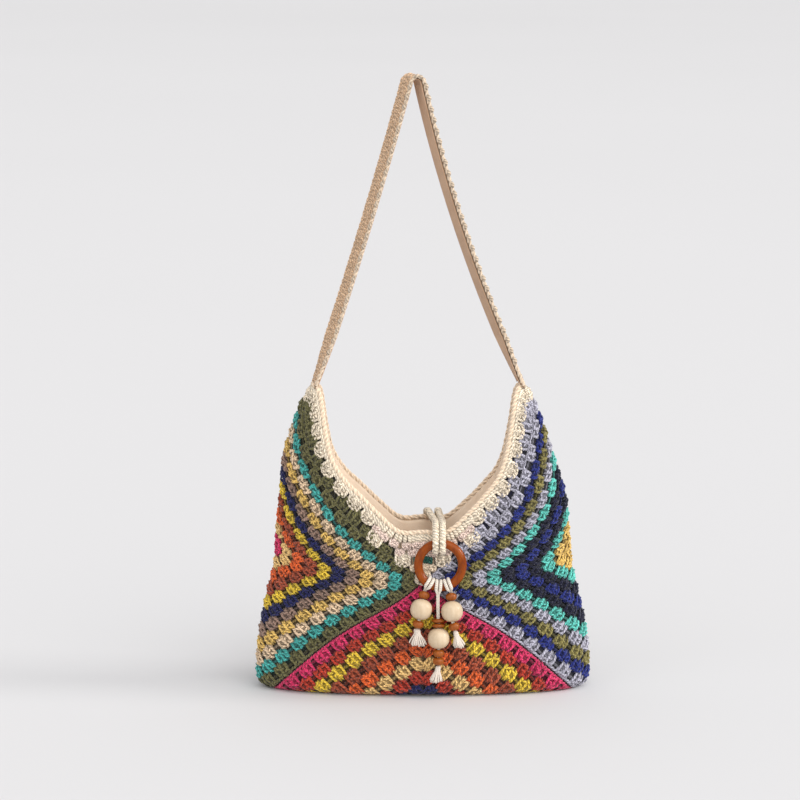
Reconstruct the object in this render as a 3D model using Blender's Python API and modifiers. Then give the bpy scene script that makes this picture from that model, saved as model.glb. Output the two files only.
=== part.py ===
"""A crocheted shoulder bag made of three granny squares, with a ring, bead and tassel charm.

Metres, +Z up. The bag stands on its flat base with its mouth open and its strap up. The origin is
the middle of the base, +X is the bag's right side as seen from the front, and the front faces -Y.

The bottom square is folded along its diagonal over the base line, so it shows as a triangle on the
front and on the back. The left and right squares are folded along their diagonals up the bag's
sides, so their top corners are the horns that carry the strap. Each square is modelled flat, as a
slab with one raised fan for each cluster of stitches, and is then laid on the bag's surface.
"""

import math
from dataclasses import dataclass
from functools import lru_cache

import bmesh
import bpy
import numpy as np
from mathutils import Matrix, Vector

# Granny squares
SQUARE_SIDE = 0.236
ROUNDS = 11
CROCHET_WALL = 0.0026
CLUSTER_RISE = 0.0024
CLUSTER_TOP_RISE = 0.0009
HOLE_SINK = 0.0005
SEAM_GAP = 0.0004
BACK_FACETS = math.radians(9)

# The bag's standing form
BELLY_DEPTH = 0.095
BASE_ROUNDING = 0.012
FLANK_GATHER = 0.017
NECK_GATHER = 0.020
NECK_LEAN = 0.0050
LEAN_FROM = 0.190
LEAN_TO = 0.250

# Neck edging
MOUTH_LOW = 0.170
ROPE_RISE = 0.0016
HORN_EASE = 0.0018

# Lining
LINING_GAP = 0.0009
LINING_EASE = 0.0027
EASE_DEPTH = 0.014
LINING_WALL = 0.0010
LINING_DROP = 0.003

# Strap
STRAP_RISE = 0.3045
STRAP_WIDTH = 0.024
STRAP_WALL = 0.0040
LEFT_BOW = 0.005
RIGHT_BOW = -0.017
STRAP_TURN = math.radians(24)
FOOT_TURN = math.radians(8)
TURN_RISE = 0.045
FOOT_EASE = 0.0026
STITCH_SINK = 0.0010
APEX_SHIFT = -0.010
BACKING_WIDTH = 0.018
BACKING_WALL = 0.0010
HOOK_RADIUS = 0.0035

# Closure loop and ring
LOOP_CORD = 0.0056
LOOP_SPREAD = 0.0068
LOOP_X = 0.0158
RING_OUTER = 0.0525
RING_WIRE = 0.0088
RING_X = 0.0170
RING_BELOW_MOUTH = 0.0108

# Strands, beads and tassels
STRAND_CORD = 0.0028
BORE = 0.0040
BIG_BEAD = (0.0216, 0.0204)
SMALL_BEAD = (0.0112, 0.0078)
THIN_BEAD = (0.0130, 0.0044)
TASSEL_LENGTH = 0.0165
TASSEL_HEAD = 0.0056
TASSEL_SPREAD = 0.0150

# Clearances
TOUCH_GAP = 0.0003
TURN_GAP = 0.0010
HITCH_GAP = 0.0004
BEAD_GAP = 0.0004

DIAGONAL = SQUARE_SIDE * math.sqrt(2)
HALF = DIAGONAL / 2
HORN_TOP = 0.941 * DIAGONAL
EDGE_AT_HORN = 0.914 * DIAGONAL
SAMPLE = 0.0002

# The side line and the belly line of the standing bag, as shares of the square's diagonal and of the
# belly's half depth, at shares of the diagonal in height.
SIDE_LINE = (
    (0.00, 0.497), (0.07, 0.500), (0.18, 0.491), (0.30, 0.466), (0.39, 0.444), (0.57, 0.429),
    (0.69, 0.407), (0.785, 0.380), (0.87, 0.348), (0.94, 0.312), (1.02, 0.285),
)
BELLY_LINE = (
    (0.00, 0.970), (0.09, 1.000), (0.21, 0.990), (0.33, 0.915), (0.45, 0.815), (0.57, 0.760),
    (0.72, 0.705), (0.87, 0.640), (1.02, 0.600),
)
# The mouth's edge: how far it stands above its lowest point, as a share of the way up to the horn
# tops, at shares of the bag's half width there.
MOUTH_LINE = (
    (0.00, 0.000), (0.17, 0.005), (0.30, 0.115), (0.45, 0.260), (0.56, 0.370), (0.64, 0.490),
    (0.72, 0.660), (0.82, 0.850), (0.92, 0.960), (1.00, 1.000),
)

PARTS = bpy.data.collections.new("granny_square_shoulder_bag")


def smooth_curve(stations):
    """A smooth curve through (place, value) stations, as a function of the place."""
    places, values = np.array(stations).T
    slopes = np.gradient(values, places)

    def read(place):
        place = np.clip(place, places[0], places[-1])
        i = np.clip(np.searchsorted(places, place) - 1, 0, len(places) - 2)
        span = places[i + 1] - places[i]
        t = (place - places[i]) / span
        return (
            (1 + 2 * t) * (1 - t) ** 2 * values[i]
            + t * (1 - t) ** 2 * span * slopes[i]
            + t * t * (3 - 2 * t) * values[i + 1]
            + t * t * (t - 1) * span * slopes[i + 1]
        )

    return read


SIDE = smooth_curve(SIDE_LINE)
BELLY = smooth_curve(BELLY_LINE)
MOUTH = smooth_curve(MOUTH_LINE)


def half_width(z):
    """Half the bag's width at a height, before the base is rounded."""
    return DIAGONAL * SIDE(z / DIAGONAL)


def half_depth(z):
    """Half the bag's depth at a height, before the base is rounded."""
    return BELLY_DEPTH / 2 * BELLY(z / DIAGONAL)


def lean_at(z):
    """How far the bag's neck leans to the left at a height."""
    share = np.clip((z - LEAN_FROM) / (LEAN_TO - LEAN_FROM), 0, 1)
    return NECK_LEAN * share * share * (3 - 2 * share)


@lru_cache(maxsize=None)
def girth_table():
    """Angles round a quarter of the bag's girth, and the share of the girth up to each."""
    angle = np.linspace(0, math.pi / 2, 91)
    wide, deep = half_width(HALF), half_depth(HALF)
    pace = np.hypot(wide * np.cos(angle), deep * np.sin(angle))
    along = np.concatenate([[0], np.cumsum((pace[1:] + pace[:-1]) / 2)])
    return angle, along / along[-1]


@lru_cache(maxsize=None)
def column(across):
    """One column of the front: lengths up from the base line, and the point at each length.

    across is the distance along the cloth from the middle of the front, up to HALF at a side fold.
    """
    angle, share = girth_table()
    turn = math.copysign(np.interp(abs(across) / HALF, share, angle), across)
    rolled = np.linspace(0, math.pi / 2, 10)
    z = np.concatenate([BASE_ROUNDING * (1 - np.cos(rolled)), np.linspace(BASE_ROUNDING, 1.015 * DIAGONAL, 90)[1:]])
    inset = np.zeros(len(z))
    inset[: len(rolled)] = BASE_ROUNDING * (1 - np.sin(rolled))
    x = (half_width(z) - inset) * math.sin(turn) - lean_at(z)
    y = -(half_depth(z) - inset) * math.cos(turn)
    points = np.stack([x, y, z], axis=1)
    points = np.vstack([[points[0][0], 0, 0], points]) if y[0] < -1e-7 else points
    along = np.concatenate([[0], np.cumsum(np.linalg.norm(np.diff(points, axis=0), axis=1))])
    return along, points


@lru_cache(maxsize=None)
def cloth_take_up():
    """How much the cloth shortens up the side fold, so that a square's top corner meets the edging."""
    along, points = column(HALF)
    return float(np.interp(EDGE_AT_HORN, points[:, 2], along)) / DIAGONAL


def height_of(across, up):
    """The length up a column where the cloth's point lies, after the neck and flanks are gathered."""
    gather = FLANK_GATHER if up < HALF else NECK_GATHER
    pull = gather * abs(math.sin(math.pi * across / HALF)) * math.sin(math.pi * min(up / HALF, 2))
    return (up + pull) * cloth_take_up()


def on_column(across, length, side):
    """The bag's point at a length up a column; side is -1 on the front and 1 on the back."""
    if abs(across) > HALF:
        across, side = math.copysign(2 * HALF - abs(across), across), -side
    along, points = column(round(across, 7))
    x, y, z = (float(np.interp(length, along, points[:, k])) for k in range(3))
    return Vector((x, -side * y, z))


def rim_length(across):
    """The length up a column at which the mouth's edge lies."""
    if abs(across) > HALF:
        across = math.copysign(2 * HALF - abs(across), across)
    along, points = column(round(across, 7))
    angle, share = girth_table()
    turn = float(np.interp(abs(across) / HALF, share, angle))
    z = MOUTH_LOW + (HORN_TOP - MOUTH_LOW) * MOUTH(math.sin(turn))
    return float(np.interp(z, points[:, 2], along))


def cloth_point(across, up, side):
    """The bag's point for a place on the flat cloth; a negative up is past the base line."""
    if up < 0:
        up, side = -up, -side
    return on_column(across, height_of(across, up), side)


def left_place(u, v):
    """Left square: u runs from the back over the side fold to the front, v runs up."""
    return cloth_point(abs(u) - HALF, v + HALF, -1 if u >= 0 else 1)


def right_place(u, v):
    """Right square: u runs from the front over the side fold to the back, v runs up."""
    return cloth_point(HALF - abs(u), v + HALF, -1 if u <= 0 else 1)


def bottom_place(u, v):
    """Bottom square: u runs across, v runs from the back under the base to the front."""
    return cloth_point(u, v, -1)


def wrapped(u):
    """Across and side for a distance round the mouth, which starts at the left horn, front first."""
    u %= 4 * HALF
    return (u - HALF, -1) if u <= 2 * HALF else (3 * HALF - u, 1)


def edging_place(u, v):
    """Neck edging: u runs round the mouth, v runs from the squares' edge (0) to the rim (1)."""
    across, side = wrapped(u)
    low = height_of(across, HALF + abs(across)) + SEAM_GAP + HORN_EASE * (abs(across) / HALF) ** 16
    return on_column(across, low + v * (rim_length(across) - low), side)


def lining_place(u, v):
    """Lining: u runs across, v runs from the back rim (-1) under the base to the front rim (1)."""
    return on_column(u, abs(v) * (rim_length(u) - LINING_DROP), -1 if v >= 0 else 1)


def laid(flat, place, step_u=SAMPLE, step_v=SAMPLE):
    """Where a point of a flat slab lies once it is laid on the bag; its z is the offset outwards.

    The cloth is pinched to a point at the ends of the base line, where it faces down.
    """
    u, v, offset = flat
    across = place(u + step_u, v) - place(u - step_u, v)
    upward = place(u, v + step_v) - place(u, v - step_v)
    facing = across.cross(upward)
    pinched = facing.length < 0.02 * step_u * upward.length
    return place(u, v) + offset * (Vector((0, 0, -1)) if pinched else facing.normalized())


def material(name, colour, roughness, metallic=0.0):
    """A plain material with the piece's colour."""
    made = bpy.data.materials.new(name)
    made.use_nodes = True
    shader = made.node_tree.nodes["Principled BSDF"]
    shader.inputs["Base Color"].default_value = (*colour, 1)
    shader.inputs["Roughness"].default_value = roughness
    shader.inputs["Metallic"].default_value = metallic
    return made


def add_object(name, data, finish):
    """Puts a mesh or a curve in the bag's collection as a named object."""
    piece = bpy.data.objects.new(name, data)
    data.materials.append(finish)
    PARTS.objects.link(piece)
    return piece


def mesh_object(name, bm, finish, smooth=True):
    """Turns a finished bmesh into a named object whose faces point out."""
    bmesh.ops.recalc_face_normals(bm, faces=bm.faces)
    if bm.calc_volume(signed=True) < 0:
        bmesh.ops.reverse_faces(bm, faces=bm.faces)
    mesh = bpy.data.meshes.new(name)
    bm.to_mesh(mesh)
    bm.free()
    if smooth:
        mesh.shade_smooth()
    return add_object(name, mesh, finish)


def cluster_of(face, unit):
    """Which cluster of stitches a face of the flat square belongs to: side, round, place along it."""
    middle = face.calc_center_median() / unit
    x, y = middle.x, middle.y
    side = (0 if x > 0 else 2) if abs(x) > abs(y) else (1 if y > 0 else 3)
    along, out = (y, abs(x)) if abs(x) > abs(y) else (x, abs(y))
    ring = math.ceil(out)
    return side, ring, math.floor((along + ring) / 2)


def ring_parity(vertex, unit):
    """0 at a hole between two clusters of a round, 1 at the middle of a cluster's top."""
    x, y = round(abs(vertex.co.x) / unit), round(abs(vertex.co.y) / unit)
    return (x + y) % 2


def relief_share(point):
    """The clusters are pressed flat where the bag rests, and full from the base's rounding up."""
    return min(1, max(0, point.z / BASE_ROUNDING))


def split_along(faces, crease):
    """Splits a square's back along the crease that it is folded on, so that it follows the fold."""
    for face in [f for f in faces if len(f.verts) == 4]:
        corners = sorted(face.verts, key=lambda v: v.co.dot(crease))
        bmesh.utils.face_split(face, corners[0], corners[-1])


def simplify_back(bm, wall_verts):
    """Joins the triangles of a square's back where it is nearly flat."""
    edges = [e for e in bm.edges if wall_verts.issuperset(e.verts)]
    inner = [v for v in wall_verts if all(wall_verts.issuperset(e.verts) for e in v.link_edges)]
    bmesh.ops.dissolve_limit(bm, angle_limit=BACK_FACETS, verts=inner, edges=edges)


def granny_square(name, place, crease, finish):
    """A crocheted square with a raised fan for each cluster, laid on the bag."""
    bm = bmesh.new()
    half_side = (SQUARE_SIDE - SEAM_GAP) / 2
    unit = half_side / ROUNDS
    bmesh.ops.create_grid(bm, x_segments=2 * ROUNDS, y_segments=2 * ROUNDS, size=half_side)
    for diagonal in ((1, 1, 0), (1, -1, 0)):
        whole = bm.verts[:] + bm.edges[:] + bm.faces[:]
        bmesh.ops.bisect_plane(bm, geom=whole, plane_co=(0, 0, 0), plane_no=diagonal, dist=1e-6)
    for v in bm.verts:
        v.co.z = CLUSTER_TOP_RISE if ring_parity(v, unit) else -HOLE_SINK
    front = bm.faces[:]
    lifted = bmesh.ops.extrude_face_region(bm, geom=front, use_keep_orig=True)["geom"]
    back = {g for g in lifted if isinstance(g, bmesh.types.BMVert)}
    for v in back:
        v.co.z = -CROCHET_WALL
    split_along([g for g in lifted if isinstance(g, bmesh.types.BMFace)], crease)
    inside = set(front)
    pairs = [e for e in bm.edges if len(e.link_faces) == 2 and inside.issuperset(e.link_faces)]
    shared = [e for e in pairs if len({cluster_of(f, unit) for f in e.link_faces}) == 1]
    bmesh.ops.dissolve_edges(bm, edges=shared, use_verts=False)
    clusters = [f for f in bm.faces if back.isdisjoint(f.verts)]
    for v in bmesh.ops.poke(bm, faces=clusters)["verts"]:
        v.co.z = CLUSTER_RISE
    quarter = Matrix.Rotation(math.radians(45), 3, "Z")
    for v in bm.verts:
        v.co = quarter @ v.co
        if v not in back:
            v.co.z *= relief_share(place(v.co.x, v.co.y))
        v.co = laid(v.co, place)
    simplify_back(bm, back)
    return mesh_object(name, bm, finish)


def slab(length, width, along, across, wall):
    """A flat slab from (0, 0) to (length, width) whose outer face lies at offset 0."""
    bm = bmesh.new()
    bmesh.ops.create_grid(bm, x_segments=along, y_segments=across, size=0.5)
    bmesh.ops.translate(bm, vec=(0.5, 0.5, 0), verts=bm.verts)
    bmesh.ops.scale(bm, vec=(length, width, 1), verts=bm.verts)
    lifted = bmesh.ops.extrude_face_region(bm, geom=bm.faces[:], use_keep_orig=True)["geom"]
    for v in (g for g in lifted if isinstance(g, bmesh.types.BMVert)):
        v.co.z = -wall
    return bm


def drop_end_walls(bm, is_end):
    """Removes the slab's walls where its ends meet each other once it is laid on the bag."""
    walls = [f for f in bm.faces if all(is_end(v.co) for v in f.verts)]
    bmesh.ops.delete(bm, geom=walls, context="FACES_ONLY")


def neck_edging(finish):
    """The cream crocheted edging round the mouth, with a row of clusters and a roped rim."""
    columns = 8 * ROUNDS
    girth = 4 * HALF
    pitch = girth / columns
    rows = (0.0, 0.30, 0.62, 0.86, 1.0)
    rises = (0.0, CLUSTER_RISE, 0.0, CLUSTER_TOP_RISE, ROPE_RISE)
    bm = slab(girth, 1, columns, len(rows) - 1, CROCHET_WALL)
    drop_end_walls(bm, lambda co: co.x < 1e-6)
    drop_end_walls(bm, lambda co: co.x > girth - 1e-6)
    back = {v for v in bm.verts if v.co.z < -CROCHET_WALL / 2}
    for v in bm.verts:
        row = round(v.co.y * (len(rows) - 1))
        if v not in back:
            fan = 1 if row != 1 else (round(v.co.x / pitch) % 2)
            v.co.z = rises[row] * fan
        v.co = laid(Vector((v.co.x, rows[row], v.co.z)), edging_place, step_v=0.02)
    simplify_back(bm, back)
    bmesh.ops.remove_doubles(bm, verts=bm.verts, dist=1e-6)
    return mesh_object("neck_edging", bm, finish)


def lining(finish):
    """The fabric lining, one bag inside the other, open at the mouth."""
    bm = slab(2 * HALF, 2, 16, 20, LINING_WALL)
    bmesh.ops.translate(bm, vec=(-HALF, -1, 0), verts=bm.verts)
    drop_end_walls(bm, lambda co: abs(co.x) > HALF - 1e-6)
    for v in bm.verts:
        below_rim = (1 - abs(v.co.y)) * rim_length(v.co.x)
        v.co.z -= CROCHET_WALL + LINING_GAP + LINING_EASE * min(1, below_rim / EASE_DEPTH)
        v.co = laid(v.co, lining_place, step_v=0.002)
    bmesh.ops.remove_doubles(bm, verts=bm.verts, dist=1e-6)
    return mesh_object("lining", bm, finish)


def bezier(start, middle, end, count):
    """Points of a quadratic curve, without its last point."""
    t = np.arange(count)[:, None] / count
    return (1 - t) ** 2 * start + 2 * t * (1 - t) * middle + t * t * end


def strap_line():
    """The strap's inner face seen along its width: up from the left horn, over the hook, down."""
    foot = half_width(HORN_TOP) - STRAP_WALL
    foot_z = HORN_TOP + ROPE_RISE / 2
    apex = np.array([APEX_SHIFT, HORN_TOP + STRAP_RISE - HOOK_RADIUS - STRAP_WALL])
    lean = lean_at(HORN_TOP)
    left, right = np.array([-foot - lean, foot_z]), np.array([foot - lean, foot_z])
    lean_left = math.atan2(apex[0] - left[0], apex[1] - left[1])
    lean_right = math.atan2(right[0] - apex[0], apex[1] - right[1])
    reach = HOOK_RADIUS + TOUCH_GAP + BACKING_WALL
    turns = np.linspace(math.pi - lean_left, lean_right, 9)
    over = apex + reach * np.stack([np.cos(turns), np.sin(turns)], axis=1)
    up = bezier(left, (left + over[0]) / 2 + np.array([LEFT_BOW, 0]), over[0], 22)
    down = bezier(over[-1], (right + over[-1]) / 2 + np.array([RIGHT_BOW, 0]), right, 22)
    return np.vstack([up, over[:-1], down, right])


def across_strap(z):
    """The level direction across the strap at a height: it turns away from the horns' folds."""
    share = min(1, max(0, (z - HORN_TOP) / TURN_RISE))
    turn = FOOT_TURN + share * (STRAP_TURN - FOOT_TURN)
    return Vector((math.sin(turn), -math.cos(turn), 0))


def horn_saddle(y):
    """The height of the strap's straight-edged foot over the rim that arches round the fold."""
    share = math.sqrt(1 - (y / half_depth(HORN_TOP)) ** 2)
    rim = MOUTH_LOW + (HORN_TOP - MOUTH_LOW) * float(MOUTH(share))
    return rim + TOUCH_GAP + FOOT_EASE


def ribbon(name, line, width, inner, outer, sink, finish):
    """A band whose width runs level across the strap's line, between two offsets from the line."""
    bm = bmesh.new()
    bmesh.ops.create_grid(bm, x_segments=len(line) - 1, y_segments=2, size=0.5)
    tangents = np.gradient(line, axis=0)
    outward = np.stack([-tangents[:, 1], tangents[:, 0]], axis=1)
    outward /= np.linalg.norm(outward, axis=1)[:, None]
    lifted = bmesh.ops.extrude_face_region(bm, geom=bm.faces[:], use_keep_orig=True)["geom"]
    outside = {g for g in lifted if isinstance(g, bmesh.types.BMVert)}
    for v in bm.verts:
        i = round((v.co.x + 0.5) * (len(line) - 1))
        dimple = sink if (i % 2 == 0) != (abs(v.co.y) > 0.4) else 0
        offset = outer - dimple if v in outside else inner
        x, z = line[i] + offset * outward[i]
        v.co = Vector((x, 0, z)) + v.co.y * width * across_strap(line[i][1])
        if i in (0, len(line) - 1):
            trim = (horn_saddle(v.co.y) - v.co.z) / tangents[i][1]
            v.co += float(trim) * Vector((tangents[i][0], 0, tangents[i][1]))
    return mesh_object(name, bm, finish)


def turned(name, profile, steps, finish):
    """A solid turned about Z from a closed profile of (radius, height) that runs down its outside."""
    mesh = bpy.data.meshes.new(name)
    count = len(profile)
    mesh.from_pydata([(r, 0, z) for r, z in profile], [(i, (i + 1) % count) for i in range(count)], [])
    piece = add_object(name, mesh, finish)
    screw = piece.modifiers.new("turn", "SCREW")
    screw.steps = screw.render_steps = steps
    screw.use_merge_vertices = True
    screw.merge_threshold = 1e-5
    screw.use_smooth_shade = True
    return piece


def bead(name, size, steps, points, spot, along, finish):
    """A bored wooden bead, threaded at a spot with its bore along a direction."""
    width, length = size
    pole = math.acos(BORE / width)
    angles = np.linspace(pole, -pole, points)
    shell = [(width / 2 * math.cos(a), length / 2 * math.sin(a) / math.sin(pole)) for a in angles]
    piece = turned(name, shell, steps, finish)
    piece.location = spot
    piece.rotation_mode = "QUATERNION"
    piece.rotation_quaternion = Vector((0, 0, -1)).rotation_difference(along)
    return piece


def tassel(name, top, lean, finish):
    """A short tassel of loose threads, flared below its knot."""
    lobes = 8
    head, spread = TASSEL_HEAD / 2, TASSEL_SPREAD / 2
    outline = ((0.0, 0.6 * head), (0.13, head), (0.30, 0.7 * head), (0.72, 0.8 * spread), (1.0, spread))
    bm = bmesh.new()
    bmesh.ops.create_grid(bm, x_segments=2 * lobes, y_segments=len(outline) - 1, size=0.5)
    for v in bm.verts:
        level = round((v.co.y + 0.5) * (len(outline) - 1))
        turn = 2 * math.pi * (v.co.x + 0.5)
        share, radius = outline[level]
        fluting = 0.75 if level > 2 and round((v.co.x + 0.5) * 2 * lobes) % 2 else 1
        ring = radius * fluting * Vector((math.cos(turn), 0.8 * math.sin(turn), 0))
        v.co = top + ring + share * TASSEL_LENGTH * lean
    bmesh.ops.remove_doubles(bm, verts=bm.verts, dist=1e-6)
    rims = [e for e in bm.edges if len(e.link_faces) == 1]
    bmesh.ops.holes_fill(bm, edges=rims, sides=0)
    return mesh_object(name, bm, finish)


def cord(name, points, diameter, finish):
    """A cord: a tube along its route."""
    data = bpy.data.curves.new(name, "CURVE")
    data.dimensions = "3D"
    spline = data.splines.new("POLY")
    spline.points.add(len(points) - 1)
    for place, point in zip(spline.points, points):
        place.co = (*point, 1)
    data.bevel_depth = diameter / 2
    data.bevel_resolution = 2
    data.use_fill_caps = True
    return add_object(name, data, finish)


def smooth_route(points, count):
    """A smooth curve through the points of a cord's route."""
    stations = np.array(points)
    along = np.concatenate([[0], np.cumsum(np.linalg.norm(np.diff(stations, axis=0), axis=1))])
    reads = [smooth_curve(np.stack([along, stations[:, k]], axis=1)) for k in range(3)]
    at = np.linspace(0, along[-1], count)
    return np.stack([read(at) for read in reads], axis=1)


def front_y(z, proud):
    """The y of a point that stands proud of the bag's front at a height."""
    return -(half_depth(z) + proud)


def hang(piece, pivot):
    """Parents a piece to a pivot and leaves it where it is."""
    piece.parent = pivot
    piece.matrix_parent_inverse = Matrix.Translation(-pivot.location)


@dataclass
class Ring:
    """The wooden ring, leaning on the bag's front where the closure loop lets it hang."""

    radius: float = (RING_OUTER - RING_WIRE) / 2
    top: Vector = None
    down: Vector = None
    pivot: bpy.types.Object = None

    def __post_init__(self):
        top_z = MOUTH_LOW - RING_BELOW_MOUTH
        low_z = top_z - 2 * self.radius
        behind_top = LOOP_CORD + TURN_GAP + 2 * TOUCH_GAP + CLUSTER_TOP_RISE
        behind_low = STRAND_CORD + HITCH_GAP + TOUCH_GAP + CLUSTER_RISE
        self.top = Vector((RING_X, front_y(top_z, behind_top + RING_WIRE / 2), top_z))
        low = Vector((RING_X, front_y(low_z, behind_low + RING_WIRE / 2), low_z))
        self.down = (low - self.top).normalized()
        self.pivot = bpy.data.objects.new("ring_swing", None)
        self.pivot.location = self.top
        PARTS.objects.link(self.pivot)

    def facing(self):
        """The ring's axis, towards the front."""
        return self.down.cross(Vector((1, 0, 0)))

    def radial(self, turn):
        """Away from the ring's middle, at a turn from its lowest point towards the bag's right."""
        return math.sin(turn) * Vector((1, 0, 0)) + math.cos(turn) * self.down

    def wire(self, turn):
        """A point of the wire's middle line."""
        return self.top + self.radius * self.down + self.radius * self.radial(turn)

    def build(self, finish):
        bpy.ops.mesh.primitive_torus_add(
            major_radius=self.radius, minor_radius=RING_WIRE / 2, major_segments=28, minor_segments=8
        )
        piece = bpy.context.object
        piece.name = piece.data.name = "wooden_ring"
        bpy.context.collection.objects.unlink(piece)
        PARTS.objects.link(piece)
        piece.data.materials.append(finish)
        piece.data.shade_smooth()
        piece.location = self.top + self.radius * self.down
        piece.rotation_mode = "QUATERNION"
        piece.rotation_quaternion = Vector((0, 0, 1)).rotation_difference(self.facing())
        hang(piece, self.pivot)


def closure_loop(ring, finish):
    """A doubled chain of crochet from the back rim, over the mouth and round the ring's wire."""
    wrap = RING_WIRE / 2 + TURN_GAP + LOOP_CORD / 2
    on_rim = MOUTH_LOW + TOUCH_GAP + LOOP_CORD / 2
    rim_y = half_depth(MOUTH_LOW)
    legs = []
    for side, drift in ((1, 0.0040), (-1, 0.0085)):
        x = LOOP_X + side * LOOP_SPREAD / 2
        leg = [
            (x - drift, rim_y, on_rim + 0.0003),
            (x - 0.6 * drift, 0.55 * rim_y, on_rim + 0.0008),
            (x - 0.25 * drift, 0, on_rim + 0.0002),
            (x, -0.6 * rim_y, on_rim + 0.0010),
            (x, -rim_y, on_rim + 0.0012),
            (x, -rim_y - 0.0070, on_rim - 0.0006),
        ]
        for turn in range(110, 361, 25):
            a = math.radians(turn)
            leg.append((x, ring.top.y + wrap * math.cos(a), ring.top.z + wrap * math.sin(a)))
        legs.append(leg)
    bight = (LOOP_X, ring.top.y + wrap, ring.top.z + 0.4 * LOOP_SPREAD)
    route = smooth_route([*legs[0], bight, *reversed(legs[1])], 52)
    return cord("closure_loop", route, LOOP_CORD, finish)


@dataclass
class Strand:
    """A doubled cord hitched on the ring, with its beads and its tassel."""

    name: str
    turn: float
    aside: float
    drop: float
    upper: tuple
    lower: tuple
    lean: float
    tassel_lean: float

    def build(self, ring, white, pale, brown):
        hitch = ring.wire(self.turn)
        x, z = hitch.x + self.aside, hitch.z - self.drop
        clear = CLUSTER_RISE + BEAD_GAP + BIG_BEAD[0] / 2
        middle = Vector((x, front_y(z, clear), z))
        radial, facing = ring.radial(self.turn), ring.facing()
        wrap = RING_WIRE / 2 + HITCH_GAP + STRAND_CORD / 2
        first = (middle - (hitch + wrap * radial)).normalized()
        second = Vector((self.lean, 0, -1)).normalized()
        hung = [bead(f"{self.name}_wood_bead", BIG_BEAD, 14, 7, middle, first, pale)]
        reach = BIG_BEAD[1] / 2
        for i, size in enumerate(self.upper):
            spot = middle - (reach + BEAD_GAP + size[1] / 2) * first
            hung.append(bead(f"{self.name}_upper_bead_{i + 1}", size, 10, 5, spot, first, brown))
            reach += BEAD_GAP + size[1]
        above = middle - (reach + BEAD_GAP) * first
        bend = middle + BIG_BEAD[1] / 2 * first
        reach = BORE / 2 * first.angle(second)
        for i, size in enumerate(self.lower):
            spot = bend + (reach + BEAD_GAP + size[1] / 2) * second
            hung.append(bead(f"{self.name}_lower_bead_{i + 1}", size, 10, 5, spot, second, brown))
            reach += BEAD_GAP + size[1]
        end = bend + (reach + BEAD_GAP) * second
        route = []
        for angle in (290, 245, 200, 155, 110, 65):
            a = math.radians(angle)
            route.append(hitch + wrap * (math.cos(a) * radial + math.sin(a) * facing))
        route += [above, (above + middle) / 2, middle, bend - 0.0015 * first, bend + 0.0015 * second, end]
        hung.append(cord(f"{self.name}_cord", route, STRAND_CORD, white))
        tassel_way = Vector((self.tassel_lean, 0, -1)).normalized()
        tilt = second.angle(tassel_way) + tassel_way.angle(Vector((0, 0, -1)))
        knot = end + (TOUCH_GAP + STRAND_CORD / 2 * tilt) * second
        hung.append(tassel(f"{self.name}_tassel", knot, tassel_way, white))
        for piece in hung:
            hang(piece, ring.pivot)


def main():
    for thing in list(bpy.data.objects):
        bpy.data.objects.remove(thing, do_unlink=True)
    bpy.context.scene.collection.children.link(PARTS)

    olive = material("olive_edged_crochet", (0.35, 0.22, 0.12), 0.85)
    blue = material("blue_edged_crochet", (0.05, 0.08, 0.30), 0.85)
    pink = material("pink_edged_crochet", (0.55, 0.05, 0.10), 0.85)
    cream = material("cream_crochet", (0.83, 0.68, 0.48), 0.85)
    cloth = material("lining_cloth", (0.75, 0.62, 0.52), 0.80)
    tape = material("strap_backing_cloth", (0.58, 0.37, 0.22), 0.80)
    mahogany = material("varnished_wood", (0.38, 0.08, 0.01), 0.20)
    white = material("white_cotton_cord", (0.85, 0.80, 0.74), 0.80)
    pale = material("pale_wood", (0.90, 0.76, 0.55), 0.45)
    brown = material("brown_wood", (0.40, 0.13, 0.02), 0.35)

    upright, level = Vector((1, 1, 0)), Vector((1, -1, 0))
    granny_square("left_square", left_place, upright, olive)
    granny_square("right_square", right_place, upright, blue)
    granny_square("bottom_square", bottom_place, level, pink)
    neck_edging(cream)
    lining(cloth)
    line = strap_line()
    ribbon("strap", line, STRAP_WIDTH, 0, STRAP_WALL, STITCH_SINK, cream)
    inner, outer = -TOUCH_GAP - BACKING_WALL, -TOUCH_GAP
    ribbon("strap_backing", line, BACKING_WIDTH, inner, outer, 0, tape)
    ring = Ring()
    ring.build(mahogany)
    closure_loop(ring, cream)
    strands = (
        Strand("left", math.radians(-32), -0.0074, 0.0249, (SMALL_BEAD,), (SMALL_BEAD,), -0.20, 0.09),
        Strand(
            "middle", math.radians(-5), 0.0002, 0.0507, (THIN_BEAD, THIN_BEAD),
            (SMALL_BEAD, SMALL_BEAD), -0.02, -0.16,
        ),
        Strand("right", math.radians(22), 0.0035, 0.0252, (SMALL_BEAD,), (SMALL_BEAD,), 0.28, 0.25),
    )
    for strand in strands:
        strand.build(ring, white, pale, brown)


main()
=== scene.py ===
"""A crocheted shoulder bag of three granny squares, dressed for the photograph's view.

Metres in the CAD frame: +Z up, the front faces -Y, and the origin is the middle of the base. Every
crocheted piece is a set of plump stitches that are placed on the flat cloth and then laid on the
standing bag's surface, over a darker ground of painted shade that shows between them.
"""

import logging
import math
from collections.abc import Callable, Sequence
from dataclasses import dataclass, field
from enum import Enum

import bmesh
import bpy
import numpy as np
from mathutils import Matrix, Vector


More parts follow.
